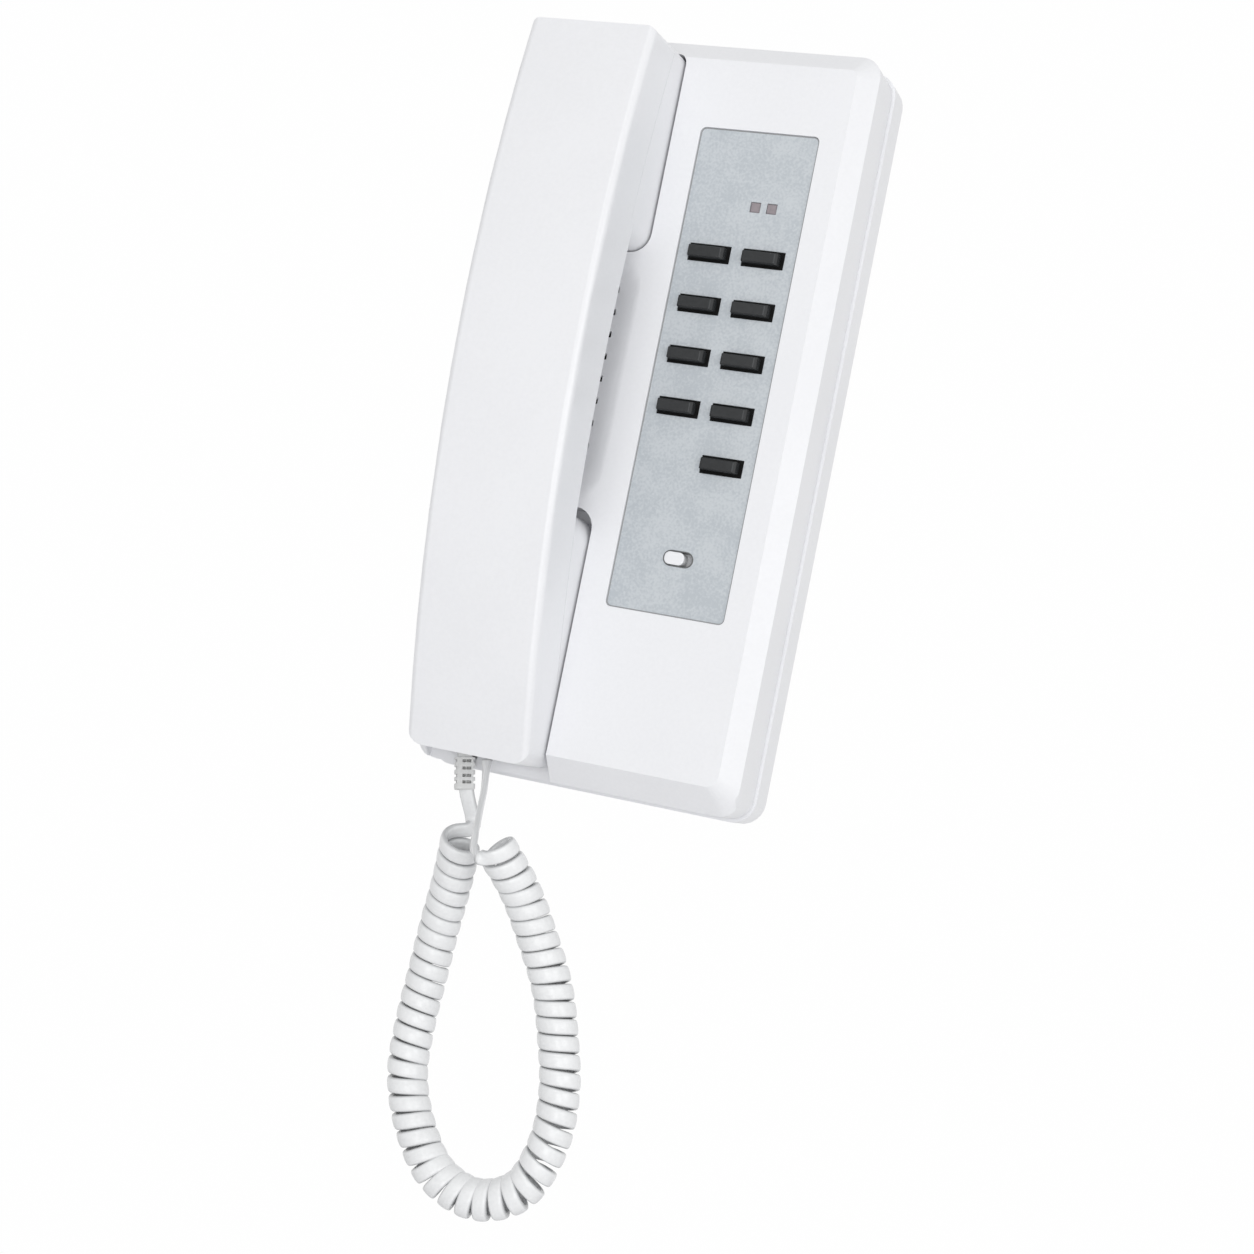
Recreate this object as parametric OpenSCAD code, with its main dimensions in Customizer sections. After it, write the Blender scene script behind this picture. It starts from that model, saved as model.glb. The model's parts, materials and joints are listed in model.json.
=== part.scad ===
// Slimline wall phone: a call station with a lift-off handset on the left, a panel of nine
// keys on the right and a curly cord. Millimetres. X right, Z up, the wall is the plane Y = 0
// and the front faces -Y. The origin is the middle of the wall side of the base.

/* [Base] */
// Width of the rear cover
base_w = 102; // [101:0.5:108]
// Height of the rear cover
base_h = 220; // [214:0.5:240]
// Depth of the rear cover, from the wall to the parting line
rear_d = 10; // [9.5:0.25:12]
// Depth of the front cover, from the parting line to the front face
front_d = 20; // [19.5:0.25:22]
// How far the rear cover stands out past the front cover all round
rim = 1; // [0.6:0.1:1.4]
// Gap between the two covers at the parting line
seam = 0.2; // [0.1:0.05:0.3]
// Wall thickness of the mouldings
wall = 2.2; // [2:0.1:2.4]
// Corner radius of the rear cover at the top
top_r = 7; // [5:0.5:9]
// Corner radius of the rear cover at the bottom
bottom_r = 7; // [7:1:9]
// Width of the bevels along the sides of the front cover
bevel_side = 5.3; // [4.5:0.1:6]
// Width of the bevel along the top of the front cover
bevel_top = 5.5; // [4.5:0.1:6]
// Depth of the side and top bevels
bevel_d = 4.7; // [4:0.1:5.5]
// Width and depth of the sloping bevel along the bottom
bevel_bottom = 7.5; // [7:0.1:8]
// Height of the lip that centres the front cover on the rear one
lip_h = 2; // [1.5:0.1:3]
// Thickness of that lip
lip_t = 1.4; // [1.2:0.1:1.6]

/* [Wells and grille] */
// Depth of the two wells that the handset's cups sit in
well_d = 9.5; // [9:0.1:10]
// Running gap between the handset and the side walls of the wells
well_gap = 0.7; // [0.5:0.1:1]
// Height of the upper well, from the ledge that the handset hangs on
well_up_h = 59.8; // [58:0.1:61.5]
// Height of the lower well, which is open at the bottom
well_low_h = 78.5; // [77:0.1:79]
// Rim left above the upper well
well_rim = 4.5; // [4:0.1:5]
// Rim left beside the wells, to the cover's left side
well_side = 3.9; // [3.6:0.1:4.2]
// Corner radius of the wells
well_r = 6; // [4:0.5:7]
// Depth of the finger scoop between the wells
scoop_d = 6; // [5:0.1:6.5]
// Width of the scoop, whose flanks and ends run smoothly into the face
scoop_w = 42; // [40:0.5:43]
// Slots in the loudspeaker grille
grille_n = 8; // [4:1:8]
// Length of a grille slot
grille_l = 24; // [20:0.5:28]
// Height of a grille slot
grille_h = 1.8; // [1.5:0.1:2.4]
// Spacing of the grille slots
grille_pitch = 6.6; // [5:0.1:6.8]
// Height of the loudspeaker and its grille above the middle between the two wells
grille_up = 4.1; // [2:0.1:6]

/* [Handset] */
// Width of the handset
hand_w = 38; // [37:0.1:38.4]
// Gap between the top of the handset and the top of its well
hand_gap = 0.8; // [0.6:0.1:1.2]
// How far the handset reaches below the front cover's bevel face
hand_bottom = 4.3; // [4:0.1:4.8]
// How far the handset's curved front falls back from its most forward point to its lower end
hand_drop = 23.1; // [22:0.1:24]
// Height of the most forward point above the handset's middle
hand_apex_up = 26.45; // [23:0.05:29]
// How far the most forward point stands out from the face of the base
hand_out = 33.5; // [33:0.1:36]
// Depth of the front shell, from the front to the parting line
shell_d = 17; // [16.5:0.1:17.5]
// Radius of the grip's curved back
grip_arc = 420; // [400:1:440]
// Height of the most forward point of the grip's back above the handset's middle
grip_apex_up = 16.05; // [13:0.05:19]
// How far the grip's back stands out from the face of the base
grip_out = 14.6; // [14:0.1:15]
// Gap between the cups' backs and the floors of the wells
cup_gap = 0.8; // [0.6:0.1:1]
// Gap between the ear cup's lower end and the ledge that it hangs on
ledge_gap = 0.3; // [0.25:0.05:0.5]
// Gap between the mouth cup and the top of the lower well
mouth_gap = 2.5; // [2:0.1:3]
// Edge radius of the handset's front
edge_r = 2.2; // [1.6:0.1:3.5]
// Corner radius of the handset's top end seen from the front
hand_top_r = 2.5; // [2:0.1:3]
// Corner radius of its lower end
hand_low_r = 5; // [4:0.1:6]
// Lean of the handset's top end back from its front, in degrees
end_lean = 2.5; // [1:0.5:3]
// Radius of the ear cup's corners towards the grip
ear_r = 6; // [5.8:0.1:7]
// Radius of the mouth cup's corners towards the grip
mouth_r = 7.5; // [6:0.1:9]
// Diameter of the receiver capsule
receiver_d = 30; // [26:0.5:31]
// Distance from the top of the handset down to the receiver's centre
receiver_down = 25.7; // [22:0.1:30]
// Diameter of the microphone capsule
mic_d = 9.7; // [8:0.1:11]
// Distance from the lower end of the handset up to the microphone's centre
mic_up = 17.8; // [16:0.1:26]
// Distance from the ear cup down to the upper handset screw
screw_down = 13; // [9:0.5:17]
// Distance from the mouth cup up to the lower handset screw
screw_up = 19; // [13:0.5:25]
// Diameter of the sound holes in the cups
sound_d = 2; // [1.5:0.1:2.5]

/* [Panel and keys] */
// Width of the printed metal panel
panel_w = 35.6; // [35:0.1:36]
// Height of the panel
panel_h = 140.3; // [138:0.1:142]
// Thickness of the panel
panel_t = 0.8; // [0.6:0.1:1]
// How far the panel lies below the face of the front cover
panel_sink = 0.6; // [0.4:0.1:0.8]
// Clear width between the wells and the panel
panel_gap = 8.5; // [8:0.1:8.8]
// Distance from the top of the front cover down to the panel
panel_down = 25.55; // [24:0.05:27]
// Spacing of the two key columns
key_dx = 16.15; // [16:0.05:17]
// Spacing of the key rows
key_dz = 15; // [13:0.1:15.5]
// Distance from the top of the panel down to the middle of the top row of keys
key_down = 36.35; // [35:0.05:38]
// Width of a key cap
key_w = 11.5; // [11:0.1:12]
// Height of a key cap
key_h = 3.9; // [3.5:0.1:4.4]
// How far a key stands out from the panel
key_out = 2.2; // [2:0.1:2.6]
// Travel of a key
key_travel = 1.5; // [1:0.1:1.6]
// Gap at each end of a key in its opening
key_gap_x = 0.5; // [0.4:0.05:0.6]
// Gap above and below a key in its opening
key_gap_z = 0.6; // [0.4:0.05:0.8]
// Side of the square lamp windows
lamp_w = 3; // [2.6:0.1:3.4]
// Spacing of the two lamp windows
lamp_dx = 4.9; // [4.6:0.1:5.4]
// Lamps' distance right of the panel's centre line
lamp_x = 5.2; // [4:0.1:6]
// Distance from the top of the panel down to the lamp windows
lamp_down = 21.75; // [19:0.05:24]
// Length of the volume switch's slot
slot_l = 9; // [8.6:0.1:10]
// Height of the slot, whose ends are round
slot_h = 4.6; // [4.4:0.1:5]
// Volume slot's distance right of the panel's centre line
slot_x = 0.8; // [0:0.1:1.5]
// Distance from the bottom of the panel up to the volume switch
slot_up = 16.35; // [15:0.05:18]
// Length of the switch's knob
knob_l = 6.4; // [6:0.1:6.6]
// Gap round the knob in its slot
knob_gap = 0.2; // [0.15:0.05:0.3]
// How far the knob stands out from the panel
knob_out = 1.2; // [0.8:0.1:1.6]

/* [Works] */
// Thickness of the circuit board
board_t = 1.6; // [1.2:0.1:1.8]
// Depth from the face of the front cover to the board
board_back = 11; // [10.6:0.1:11.5]
// Height of the key switches above the board
tact_h = 3.8; // [3.4:0.1:3.9]
// Side of the key switches
tact_w = 6; // [5:0.1:7]
// Outer diameter of the loudspeaker
speaker_d = 40; // [36:0.5:42]
// Depth of the loudspeaker
speaker_h = 9; // [8:0.25:9.5]
// Diameter of the loudspeaker's magnet
magnet_d = 21; // [16:0.5:24]
// Thickness of the foam gaskets
gasket_t = 1; // [0.8:0.1:1.2]
// Diameter of the hook plunger
hook_d = 6; // [5:0.1:7]
// Distance from the top of the upper well down to the hook plunger
hook_down = 29.5; // [24:0.5:34]
// Travel of the hook plunger
hook_travel = 4; // [3:0.1:4]
// Diameter of the screws' shanks
screw_d = 3; // [2.5:0.1:3.2]
// Distance of the case screws from the sides of the rear cover
case_in_x = 9; // [8:0.1:10]
// Distance of the case screws from its top and bottom
case_in_z = 12; // [11:0.1:14]
// Free length of a running or sliding clearance between parts
fit = 0.3; // [0.25:0.05:0.35]

/* [Wall bracket] */
// Width of the wall bracket
bracket_w = 60; // [56:0.5:62]
// Height of the wall bracket
bracket_h = 110; // [106:0.5:114]
// Thickness of the bracket's steel
bracket_t = 1.5; // [1.2:0.1:1.6]
// Spacing of the wall screws, one above the other
wall_screw_dz = 83.5; // [80:0.5:86]
// Diameter of the holes for the wall screws
wall_screw_d = 4.5; // [4:0.1:5.5]
// Width of the opening for the building's cable
entry_w = 26; // [24:0.5:28]
// Height of that opening
entry_h = 36; // [35:0.5:38]
// Distance of the hooks from the centre line
hook_x = 22; // [20:0.5:24]
// Width of a hook
tab_w = 8; // [6:0.5:9]

/* [Cord] */
// Width of the flat cord
cord_w = 3.6; // [3:0.1:3.7]
// Thickness of the flat cord
cord_t = 2; // [1.6:0.1:2]
// Radius of the curls, to the middle of the cord
curl_r = 5; // [4.6:0.1:5.2]
// Curls in the cord
curls = 47.64; // [41.64:1:47.64]
// Width of the cord's strain relief
boot_w = 5.9; // [5.6:0.1:6.4]
// Depth of the strain relief
boot_d = 4.6; // [4.4:0.1:5]
// Ribs of the strain relief
boot_ribs = 5; // [3:1:6]
// Spacing of the ribs
rib_pitch = 2.1; // [1.8:0.1:2.1]

/* [Hidden] */
// Fragments of an ordinary circle and of a long shallow arc
$fn = 48;
long_fn = 360;
// How far a cut passes its surface, and how far it runs past an open edge
eps = 0.5;
past = 10;
// Step that keeps an inner solid off the outer face
skin = 0.2;

// Heads of the screws
head_d = screw_d * 1.9;
head_h = screw_d * 0.7;

// Depths along Y
y_part = -rear_d;
y_face = y_part - front_d;
y_well = y_face + well_d;
y_cup = y_well - cup_gap;
y_panel = y_face + panel_sink;
y_pad = y_panel + panel_t + wall;
y_board = y_face + board_back;

// The front cover's outline, and how much tighter its corners are at the face, above and below
face_tighter = 4;
face_tighter_low = 2.5;
front_w = base_w - 2 * rim;
front_h = base_h - 2 * rim;
front_top = front_h / 2;
front_low = -front_h / 2;

// The wells, and the handset that lies in them
well_w = hand_w + 2 * well_gap;
well_x0 = -(front_w / 2 - well_side);
well_x1 = well_x0 + well_w;
hand_x = well_x0 + well_w / 2;
well_top = front_top - well_rim;
well_up_z = well_top - well_up_h;
well_low_z = front_low + well_low_h;
grille_z = (well_up_z + well_low_z) / 2 + grille_up;
hand_top = well_top - hand_gap;
hand_low = front_low + bevel_bottom - hand_bottom;
hand_mid = (hand_top + hand_low) / 2;
ear_low = well_up_z + ledge_gap;
mouth_top = well_low_z - mouth_gap;
well_top_r = hand_top_r + 0.7;
front_top_r = top_r - rim;
front_low_r = bottom_r - rim;

// The capsules: their places, depths of the receiver's two steps, the microphone, and the cups' holes
receiver_z = hand_top - receiver_down;
mic_z = hand_low + mic_up;
receiver_t = 5;
receiver_back_t = 8;
receiver_step = 4;
gasket_w = 3;
sound_ring_r = 8;
mic_t = 6;
sleeve_wall = 2;
sleeve_lip = 1.2;
mic_hole_d = 1.6;
mic_hole_dx = 3;

// The handset's arcs, whose centres lie behind the wall
y_out = y_face - hand_out;
hand_apex_z = hand_mid + hand_apex_up;
hand_arc = (pow(hand_apex_z - hand_low, 2) + pow(hand_drop, 2)) / (2 * hand_drop);
arc_y = y_out + hand_arc;
part_arc = hand_arc - shell_d;
y_grip = y_face - grip_out;
grip_apex_z = hand_mid + grip_apex_up;
grip_y = y_grip + grip_arc;
y_far = y_out - past;
hand_screw_z = [ear_low - screw_down, mouth_top + screw_up];
screw_seat = y_grip - head_h - skin;
hand_screw_l = 8;

// The panel and what sits in it, the gap round it and the border of the ground behind it
panel_top = front_top - panel_down;
panel_low = panel_top - panel_h;
key_top_z = panel_top - key_down;
lamp_z = panel_top - lamp_down;
slot_z = panel_low + slot_up;
panel_r = 1.7;
panel_fit = 0.05;
panel_ground = 1;
panel_x = well_x1 + panel_gap + panel_w / 2;
lamp_x0 = panel_x + lamp_x - lamp_dx / 2;
lamp_d = 3;
lamp_l = 4;
lamp_collar = 0.3;
window_t = 0.8;
slot_cx = panel_x + slot_x;
knob_h = slot_h - 2 * knob_gap;
knob_travel = slot_l - knob_l - 2 * knob_gap;
knob_x = slot_cx - knob_travel / 2;

// Columns and rows of the nine keys, from the top left: the last row has one key, at the right
key_at = [for (i = [0:8]) [i == 8 ? 1 : i % 2, floor(i / 2)]];
key_flange = 1;
key_lap = 1.5;
key_play = 0.1;
tact_button_d = 3.5;
tact_button_h = 0.5;

// The board: its gaps to the wells' wall and the cover's side, and how far it reaches below the
// panel and stays short of the panel's top; the posts that it is screwed to
board_gap_in = 1.2;
board_gap_out = 2.3;
board_below = 13.1;
board_short = 3.4;
board_x0 = well_x1 + wall + board_gap_in;
board_x1 = front_w / 2 - wall - board_gap_out;
board_z0 = panel_low - board_below;
board_z1 = panel_top - board_short;
board_screw_l = 7.5;
post_d = 6;
post_in = 4.5;
board_posts = [for (x = [board_x0 + post_in, board_x1 - post_in])
               for (z = [board_z0 + post_in, board_z1 - post_in]) [x, z]];

// The case screws: the left pair stands nearer the middle, behind the wells
case_shift = 2;
case_screw_x = base_w / 2 - case_in_x;
case_screw_z = base_h / 2 - case_in_z;
case_posts = [[-case_screw_x + case_shift, case_screw_z], [case_screw_x, case_screw_z],
              [-case_screw_x + case_shift, -case_screw_z], [case_screw_x, -case_screw_z]];
boss_d = 7;
screw_l = 10;
head_y = -6.5;
// Gaps round a screw's shank in its boss and in the piece that it clamps, and round its head
thread_gap = 0.05;
shank_gap = 0.2;
head_gap = 0.35;
// Wall round a screw's head
head_wall = 1.5;

// The bracket's recess in the rear cover, its border and its floor, and the hooks
recess_gap = 0.2;
recess_border = 3;
entry_border = 2;
tab_up = 4;
tab_top_in = 19;
tab_low_in = 11;
tab_z = [bracket_h / 2 - tab_top_in, -bracket_h / 2 + tab_low_in];
back_t = wall + 2;

// The loudspeaker and its seat behind the grille
speaker_rim = 2;
magnet_t = 4;
coil_d = 8;
flange = 3;
seat_out = 6;
speaker_y = y_well + wall + 1;

// The hook plunger and its switch
hook_z = well_top - hook_down;
hook_bore = hook_d + 2 * fit;
hook_tip = y_cup + fit;
hook_stop_y = y_well + wall + hook_travel + fit;
hook_stop_t = 1;
hook_rear = hook_stop_y + hook_stop_t;
wing_l = 30;
wing_t = 1.2;
wing_x = wing_l / 2 - 3;
hook_screw_l = 5.4;

// The volume switch: the knob's foot behind the panel, its lever and the switch that it moves
foot_l = 12;
foot_t = 1.2;
foot_lap = 0.9;
lever_w = 2;
lever_h = 2.5;
lever_end = 3;
switch_t = 4.2;
switch_h = 6.6;

// The strain relief: its place and lean, its core, slots and neck, and the head that locks it
boot_left = 7.5;
boot_back = 6;
boot_below = 1.4;
boot_x = hand_x - boot_left;
boot_y = y_face + boot_back;
boot_top = hand_low - boot_below;
boot_lean = 12;
boot_l = 9.5;
boot_core = 0.7;
rib_slot = 0.9;
rib_slot_l = 3;
rib_slot_d = 1.2;
rib_up = 0.8;
neck_w = 4.4;
neck_gap = 0.3;
lock_w = 8;
lock_t = 1.4;

// Where the cord leaves the handset, and the clamp's plug that fills the slot
exit_right = 3.7;
exit_out = 3;
exit_x = hand_x + exit_right;
exit_y = y_face - exit_out;
exit_turn = 132;
exit_l = 5.4;
exit_h = 3;
exit_gap = 0.1;

// Middle line of the curly part, from the base's end round the bottom to the handset's end
CURL_ROUTE = [
    [-26.3, -31.5, -129.6], [-29.3, -25, -142.4], [-32.1, -20.8, -156], [-33.5, -19.2, -170.5],
    [-34.1, -19.4, -185.1], [-32.9, -20.1, -199.8], [-27.3, -20.2, -213.3], [-18, -19.9, -224.7],
    [-4.7, -19.7, -228.7], [7.8, -19.5, -222.7], [13.4, -19.3, -208.2], [13.2, -18.9, -193.3],
    [9.7, -19.1, -179.1], [5.3, -20.3, -165.4], [-1.1, -23, -152.4], [-7.2, -27.8, -140.3],
    [-13.9, -35.5, -129.6]
];
// The free stretch from the strain relief to the curls, and the way its broad side faces
BASE_ROUTE = [
    [-31.3, -24, -115.3], [-30.5, -23.9, -117.5], [-29.7, -23.4, -119.6], [-28.9, -22.6, -121.8]
];
BASE_WIDE = [[1, 0, 0], [1, 0, 0], [1, 0, 0], [1, 0, 0]];
// The free stretch from the curls to the handset
HAND_ROUTE = [
    [-18.9, -39.6, -128.3], [-19.3, -38.8, -126], [-19.9, -37.4, -123], [-20.6, -35.8, -118.9],
    [-21.1, -34.6, -115], [-22.1, -33.5, -110], [-22.7, -33, -106.1]
];
HAND_WIDE = [
    [-0.5, 0.85, 0], [-0.4, 0.9, 0], [-0.35, 0.94, 0], [-0.35, 0.94, 0], [-0.4, 0.9, 0],
    [-0.5, 0.86, 0], [-0.67, 0.74, 0]
];

// Colours
WHITE = [0.93, 0.94, 0.95];
GREY = [0.76, 0.78, 0.80];
DARK = [0.22, 0.23, 0.24];
BLACK = [0.08, 0.08, 0.09];
STEEL = [0.72, 0.73, 0.75];
BOARD = [0.10, 0.36, 0.20];

// ---------------------------------------------------------------- helpers

// Corner points of a rectangle whose top and bottom corners have their own radii
function corner(cx, cz, r, a0) = [for (i = [0:6]) [cx + r * cos(a0 + 15 * i), cz + r * sin(a0 + 15 * i)]];
function outline(x0, x1, z0, z1, rt, rb) = concat(
    corner(x1 - rt, z1 - rt, rt, 0), corner(x0 + rt, z1 - rt, rt, 90),
    corner(x0 + rb, z0 + rb, rb, 180), corner(x1 - rb, z0 + rb, rb, 270));

// Radius of a corner drawn in by an inset
function inner_r(r, inset) = max(r - inset, 0.5);

// Stands a flat X-Z drawing up between two depths
module slab(y_front, y_back) {
    translate([0, y_back, 0]) rotate([90, 0, 0]) linear_extrude(y_back - y_front) children();
}

// Box between two opposite corners
module block(a, b) {
    translate(a) cube(b - a);
}

// Cylinder along Y between two depths
module rod(x, z, d, y_front, y_back) {
    translate([x, y_back, z]) rotate([90, 0, 0]) cylinder(d = d, h = y_back - y_front);
}

// Slot or knob with round ends along X
module pill(l, h) {
    square([l - h, h], center = true);
    for (s = [-1, 1]) translate([s * (l - h) / 2, 0]) circle(d = h);
}

// ---------------------------------------------------------------- base

// How much less than the wall a mitred edge steps in where two faces meet at an angle
function mitre(run, rise) = tan(atan2(rise, run) / 2);

// The front cover's bevelled block, drawn in by an inset for its inside
module cover_block(inset, y_back) {
    side_in = inset * mitre(bevel_side, bevel_d);
    deep = inset * mitre(bevel_d, bevel_side);
    low_step = bevel_bottom * (bevel_bottom - bevel_d) / bevel_bottom;
    half = front_w / 2;
    low_in = inset * mitre(1, 1);
    hull() {
        slab(y_face + inset, y_face + inset + 0.01)
            polygon(outline(-half + bevel_side + side_in, half - bevel_side - side_in,
                            front_low + bevel_bottom + low_in, front_top - bevel_top - side_in,
                            inner_r(front_top_r, face_tighter), inner_r(front_low_r, face_tighter_low)));
        slab(y_face + bevel_d + deep, y_face + bevel_d + deep + 0.01)
            polygon(outline(-half + inset, half - inset,
                            front_low + low_step + inset, front_top - inset,
                            inner_r(front_top_r, inset), inner_r(front_low_r, inset)));
        slab(y_face + bevel_bottom + low_in, y_back)
            polygon(outline(-half + inset, half - inset,
                            front_low + inset, front_top - inset,
                            inner_r(front_top_r, inset), inner_r(front_low_r, inset)));
    }
}

// The two wells, grown by a wall for the outside of their pockets
module wells(grow, y_front, y_back) {
    slab(y_front, y_back) {
        polygon(outline(well_x0 - grow, well_x1 + grow, front_low - past, well_low_z + grow,
                        well_r + grow, 0.01));
        polygon(outline(well_x0 - grow, well_x1 + grow, well_up_z - grow, well_top + grow,
                        well_top_r + grow, well_r + grow));
    }
}

// The finger scoop behind the grip: a hollow in the face whose flanks and ends ease into it
SCOOP_FLANK = 14;
SCOOP_END = 14;
SCOOP_STEPS = 5;
function ease(t) = t <= 0 ? 0 : t >= 1 ? 1 : (1 - cos(180 * t)) / 2;
function scoop_at(x, z) = scoop_d * ease((scoop_w / 2 - abs(x)) / SCOOP_FLANK)
    * ease(min(z - well_low_z, well_up_z - z) / SCOOP_END);

// Steps from one edge to the other, close together along both edges
function steps_in(a, b, width) = concat([for (i = [0:SCOOP_STEPS]) a + width * i / SCOOP_STEPS],
                                        [for (i = [SCOOP_STEPS:-1:0]) b - width * i / SCOOP_STEPS]);

// The solid from in front of the face down to the hollow, let in deeper by a wall
module scoop(deeper) {
    xs = steps_in(-scoop_w / 2, scoop_w / 2, SCOOP_FLANK);
    zs = steps_in(well_low_z, well_up_z, SCOOP_END);
    m = len(xs);
    n = m * len(zs);
    floor_points = [for (z = zs) for (x = xs) [hand_x + x, y_face - skin + deeper + scoop_at(x, z), z]];
    top_points = [for (z = zs) for (x = xs) [hand_x + x, y_face - past, z]];
    cells = [for (j = [0:len(zs) - 2]) for (i = [0:m - 2]) j * m + i];
    floor_faces = [for (k = cells) each [[k, k + 1, k + m + 1], [k, k + m + 1, k + m]]];
    top_faces = [for (f = floor_faces) [f[0] + n, f[2] + n, f[1] + n]];
    edge = concat([for (i = [0:m - 1]) i], [for (k = [2 * m - 1:m:n - 1]) k],
                  [for (i = [n - 2:-1:n - m]) i], [for (k = [n - 2 * m:-m:m]) k]);
    sides = [for (k = [0:len(edge) - 1]) let (a = edge[k], b = edge[(k + 1) % len(edge)])
             each [[b, a, a + n], [b, a + n, b + n]]];
    polyhedron(concat(floor_points, top_points), concat(floor_faces, sides, top_faces));
}

// Middle of a key, and its opening
function key_x(k) = panel_x + (key_at[k][0] - 0.5) * key_dx;
function key_z(k) = key_top_z - key_at[k][1] * key_dz;
module key_hole(k, y_front, y_back) {
    half_w = key_w / 2 + key_gap_x;
    half_h = key_h / 2 + key_gap_z;
    translate([key_x(k), 0, key_z(k)]) block([-half_w, y_front, -half_h], [half_w, y_back, half_h]);
}

// Every opening of the panel: keys, lamp windows and the volume slot
module panel_holes(y_front, y_back) {
    for (k = [0:8]) key_hole(k, y_front, y_back);
    for (i = [0, 1])
        block([lamp_x0 + i * lamp_dx - lamp_w / 2, y_front, lamp_z - lamp_w / 2],
              [lamp_x0 + i * lamp_dx + lamp_w / 2, y_back, lamp_z + lamp_w / 2]);
    translate([slot_cx, 0, slot_z]) slab(y_front, y_back) pill(slot_l, slot_h);
}

module panel_outline(grow) {
    polygon(outline(panel_x - panel_w / 2 - grow, panel_x + panel_w / 2 + grow,
                    panel_low - grow, panel_top + grow, panel_r, panel_r));
}

module front_cover() {
    y_back = y_part - seam;
    color(WHITE) difference() {
        union() {
            difference() {
                cover_block(0, y_back);
                cover_block(wall, y_back + eps);
            }
            // Pockets of the wells and the scoop, kept within the cover's outline
            intersection() {
                union() {
                    wells(wall, y_face + skin, y_well + wall);
                    intersection() {
                        scoop(wall);
                        block([-front_w, y_face + skin, -front_h], [front_w, y_back, front_h]);
                    }
                    rod(hand_x, grille_z, speaker_d + 2 * speaker_rim, y_well - seat_out, speaker_y);
                }
                cover_block(skin, y_back);
            }
            // Thicker ground behind the panel
            slab(y_face + skin, y_pad) panel_outline(panel_ground);
            for (p = board_posts) rod(p[0], p[1], post_d, y_face + wall / 2, y_board);
            for (p = case_posts)
                rod(p[0], p[1], boss_d, (p[0] < 0 ? y_well : y_face) + wall / 2, y_back + seam);
            for (s = [-1, 1])
                rod(hand_x + s * wing_x, hook_z, post_d, y_well + wall / 2, hook_rear + fit);
        }
        wells(0, y_face - eps, y_well);
        scoop(0);
        for (i = [0:grille_n - 1]) {
            z = grille_z + (i - (grille_n - 1) / 2) * grille_pitch;
            block([hand_x - grille_l / 2, y_face - eps, z - grille_h / 2],
                  [hand_x + grille_l / 2, y_well + wall + skin, z + grille_h / 2]);
        }
        // The space between the grille and the loudspeaker
        difference() {
            rod(hand_x, grille_z, speaker_d - 2 * speaker_rim, y_well - seat_out - eps, speaker_y + eps);
            scoop(wall);
        }
        slab(y_face - eps, y_panel + panel_t) panel_outline(panel_fit);
        panel_holes(y_face - eps, y_pad + eps);
        rod(hand_x, hook_z, hook_bore, y_well - eps, y_well + wall + eps);
        for (p = board_posts)
            rod(p[0], p[1], screw_d + 2 * thread_gap,
                y_board + board_t - board_screw_l - fit, y_board + eps);
        for (p = case_posts)
            rod(p[0], p[1], screw_d + 2 * thread_gap, head_y - screw_l - fit, y_back + 1);
        for (s = [-1, 1])
            rod(hand_x + s * wing_x, hook_z, screw_d + 2 * thread_gap,
                hook_rear + wing_t - hook_screw_l, hook_rear + 1);
        // Notch in the edge of the lower well for the strain relief's neck
        block([boot_x - neck_w / 2 - neck_gap, y_well - eps, front_low - 1],
              [boot_x + neck_w / 2 + neck_gap, y_well + wall + lock_t + 2 * skin, hand_low + 1 + neck_gap]);
    }
}

module rear_outline(inset) {
    polygon(outline(-base_w / 2 + inset, base_w / 2 - inset, -base_h / 2 + inset, base_h / 2 - inset,
                    inner_r(top_r, inset), inner_r(bottom_r, inset)));
}

module rear_cover() {
    lip_out = wall + rim + seam;
    lip_in = lip_out + lip_t;
    border = recess_border;
    color(WHITE) difference() {
        union() {
            difference() {
                slab(y_part, 0) rear_outline(0);
                slab(y_part - eps, -wall) rear_outline(wall + rim);
            }
            // The centring lip and the foot that carries it
            difference() {
                union() {
                    slab(y_part - lip_h, y_part) rear_outline(lip_out);
                    slab(y_part, -wall) rear_outline(wall + rim - skin);
                }
                slab(y_part - lip_h - eps, eps) rear_outline(lip_in);
            }
            block([-bracket_w / 2 - border, -back_t, -bracket_h / 2 - border],
                  [bracket_w / 2 + border, -wall / 2, bracket_h / 2 + border]);
            for (p = case_posts) rod(p[0], p[1], head_d + 2 * head_wall, y_part, -wall / 2);
        }
        // Recess for the bracket, the cable's opening and the slots for the hooks
        block([-bracket_w / 2 - recess_gap, -bracket_t - recess_gap, -bracket_h / 2 - recess_gap],
              [bracket_w / 2 + recess_gap, eps, bracket_h / 2 + recess_gap]);
        block([-entry_w / 2, -back_t - eps, -entry_h / 2], [entry_w / 2, eps, entry_h / 2]);
        for (s = [-1, 1]) for (z = tab_z)
            block([s * hook_x - tab_w / 2 - fit, -back_t - eps, z - tab_up - fit],
                  [s * hook_x + tab_w / 2 + fit, eps, z + bracket_t + fit]);
        for (p = case_posts) {
            rod(p[0], p[1], screw_d + 2 * shank_gap, y_part - eps, eps);
            rod(p[0], p[1], head_d + 2 * head_gap, head_y, eps);
        }
    }
}

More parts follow.
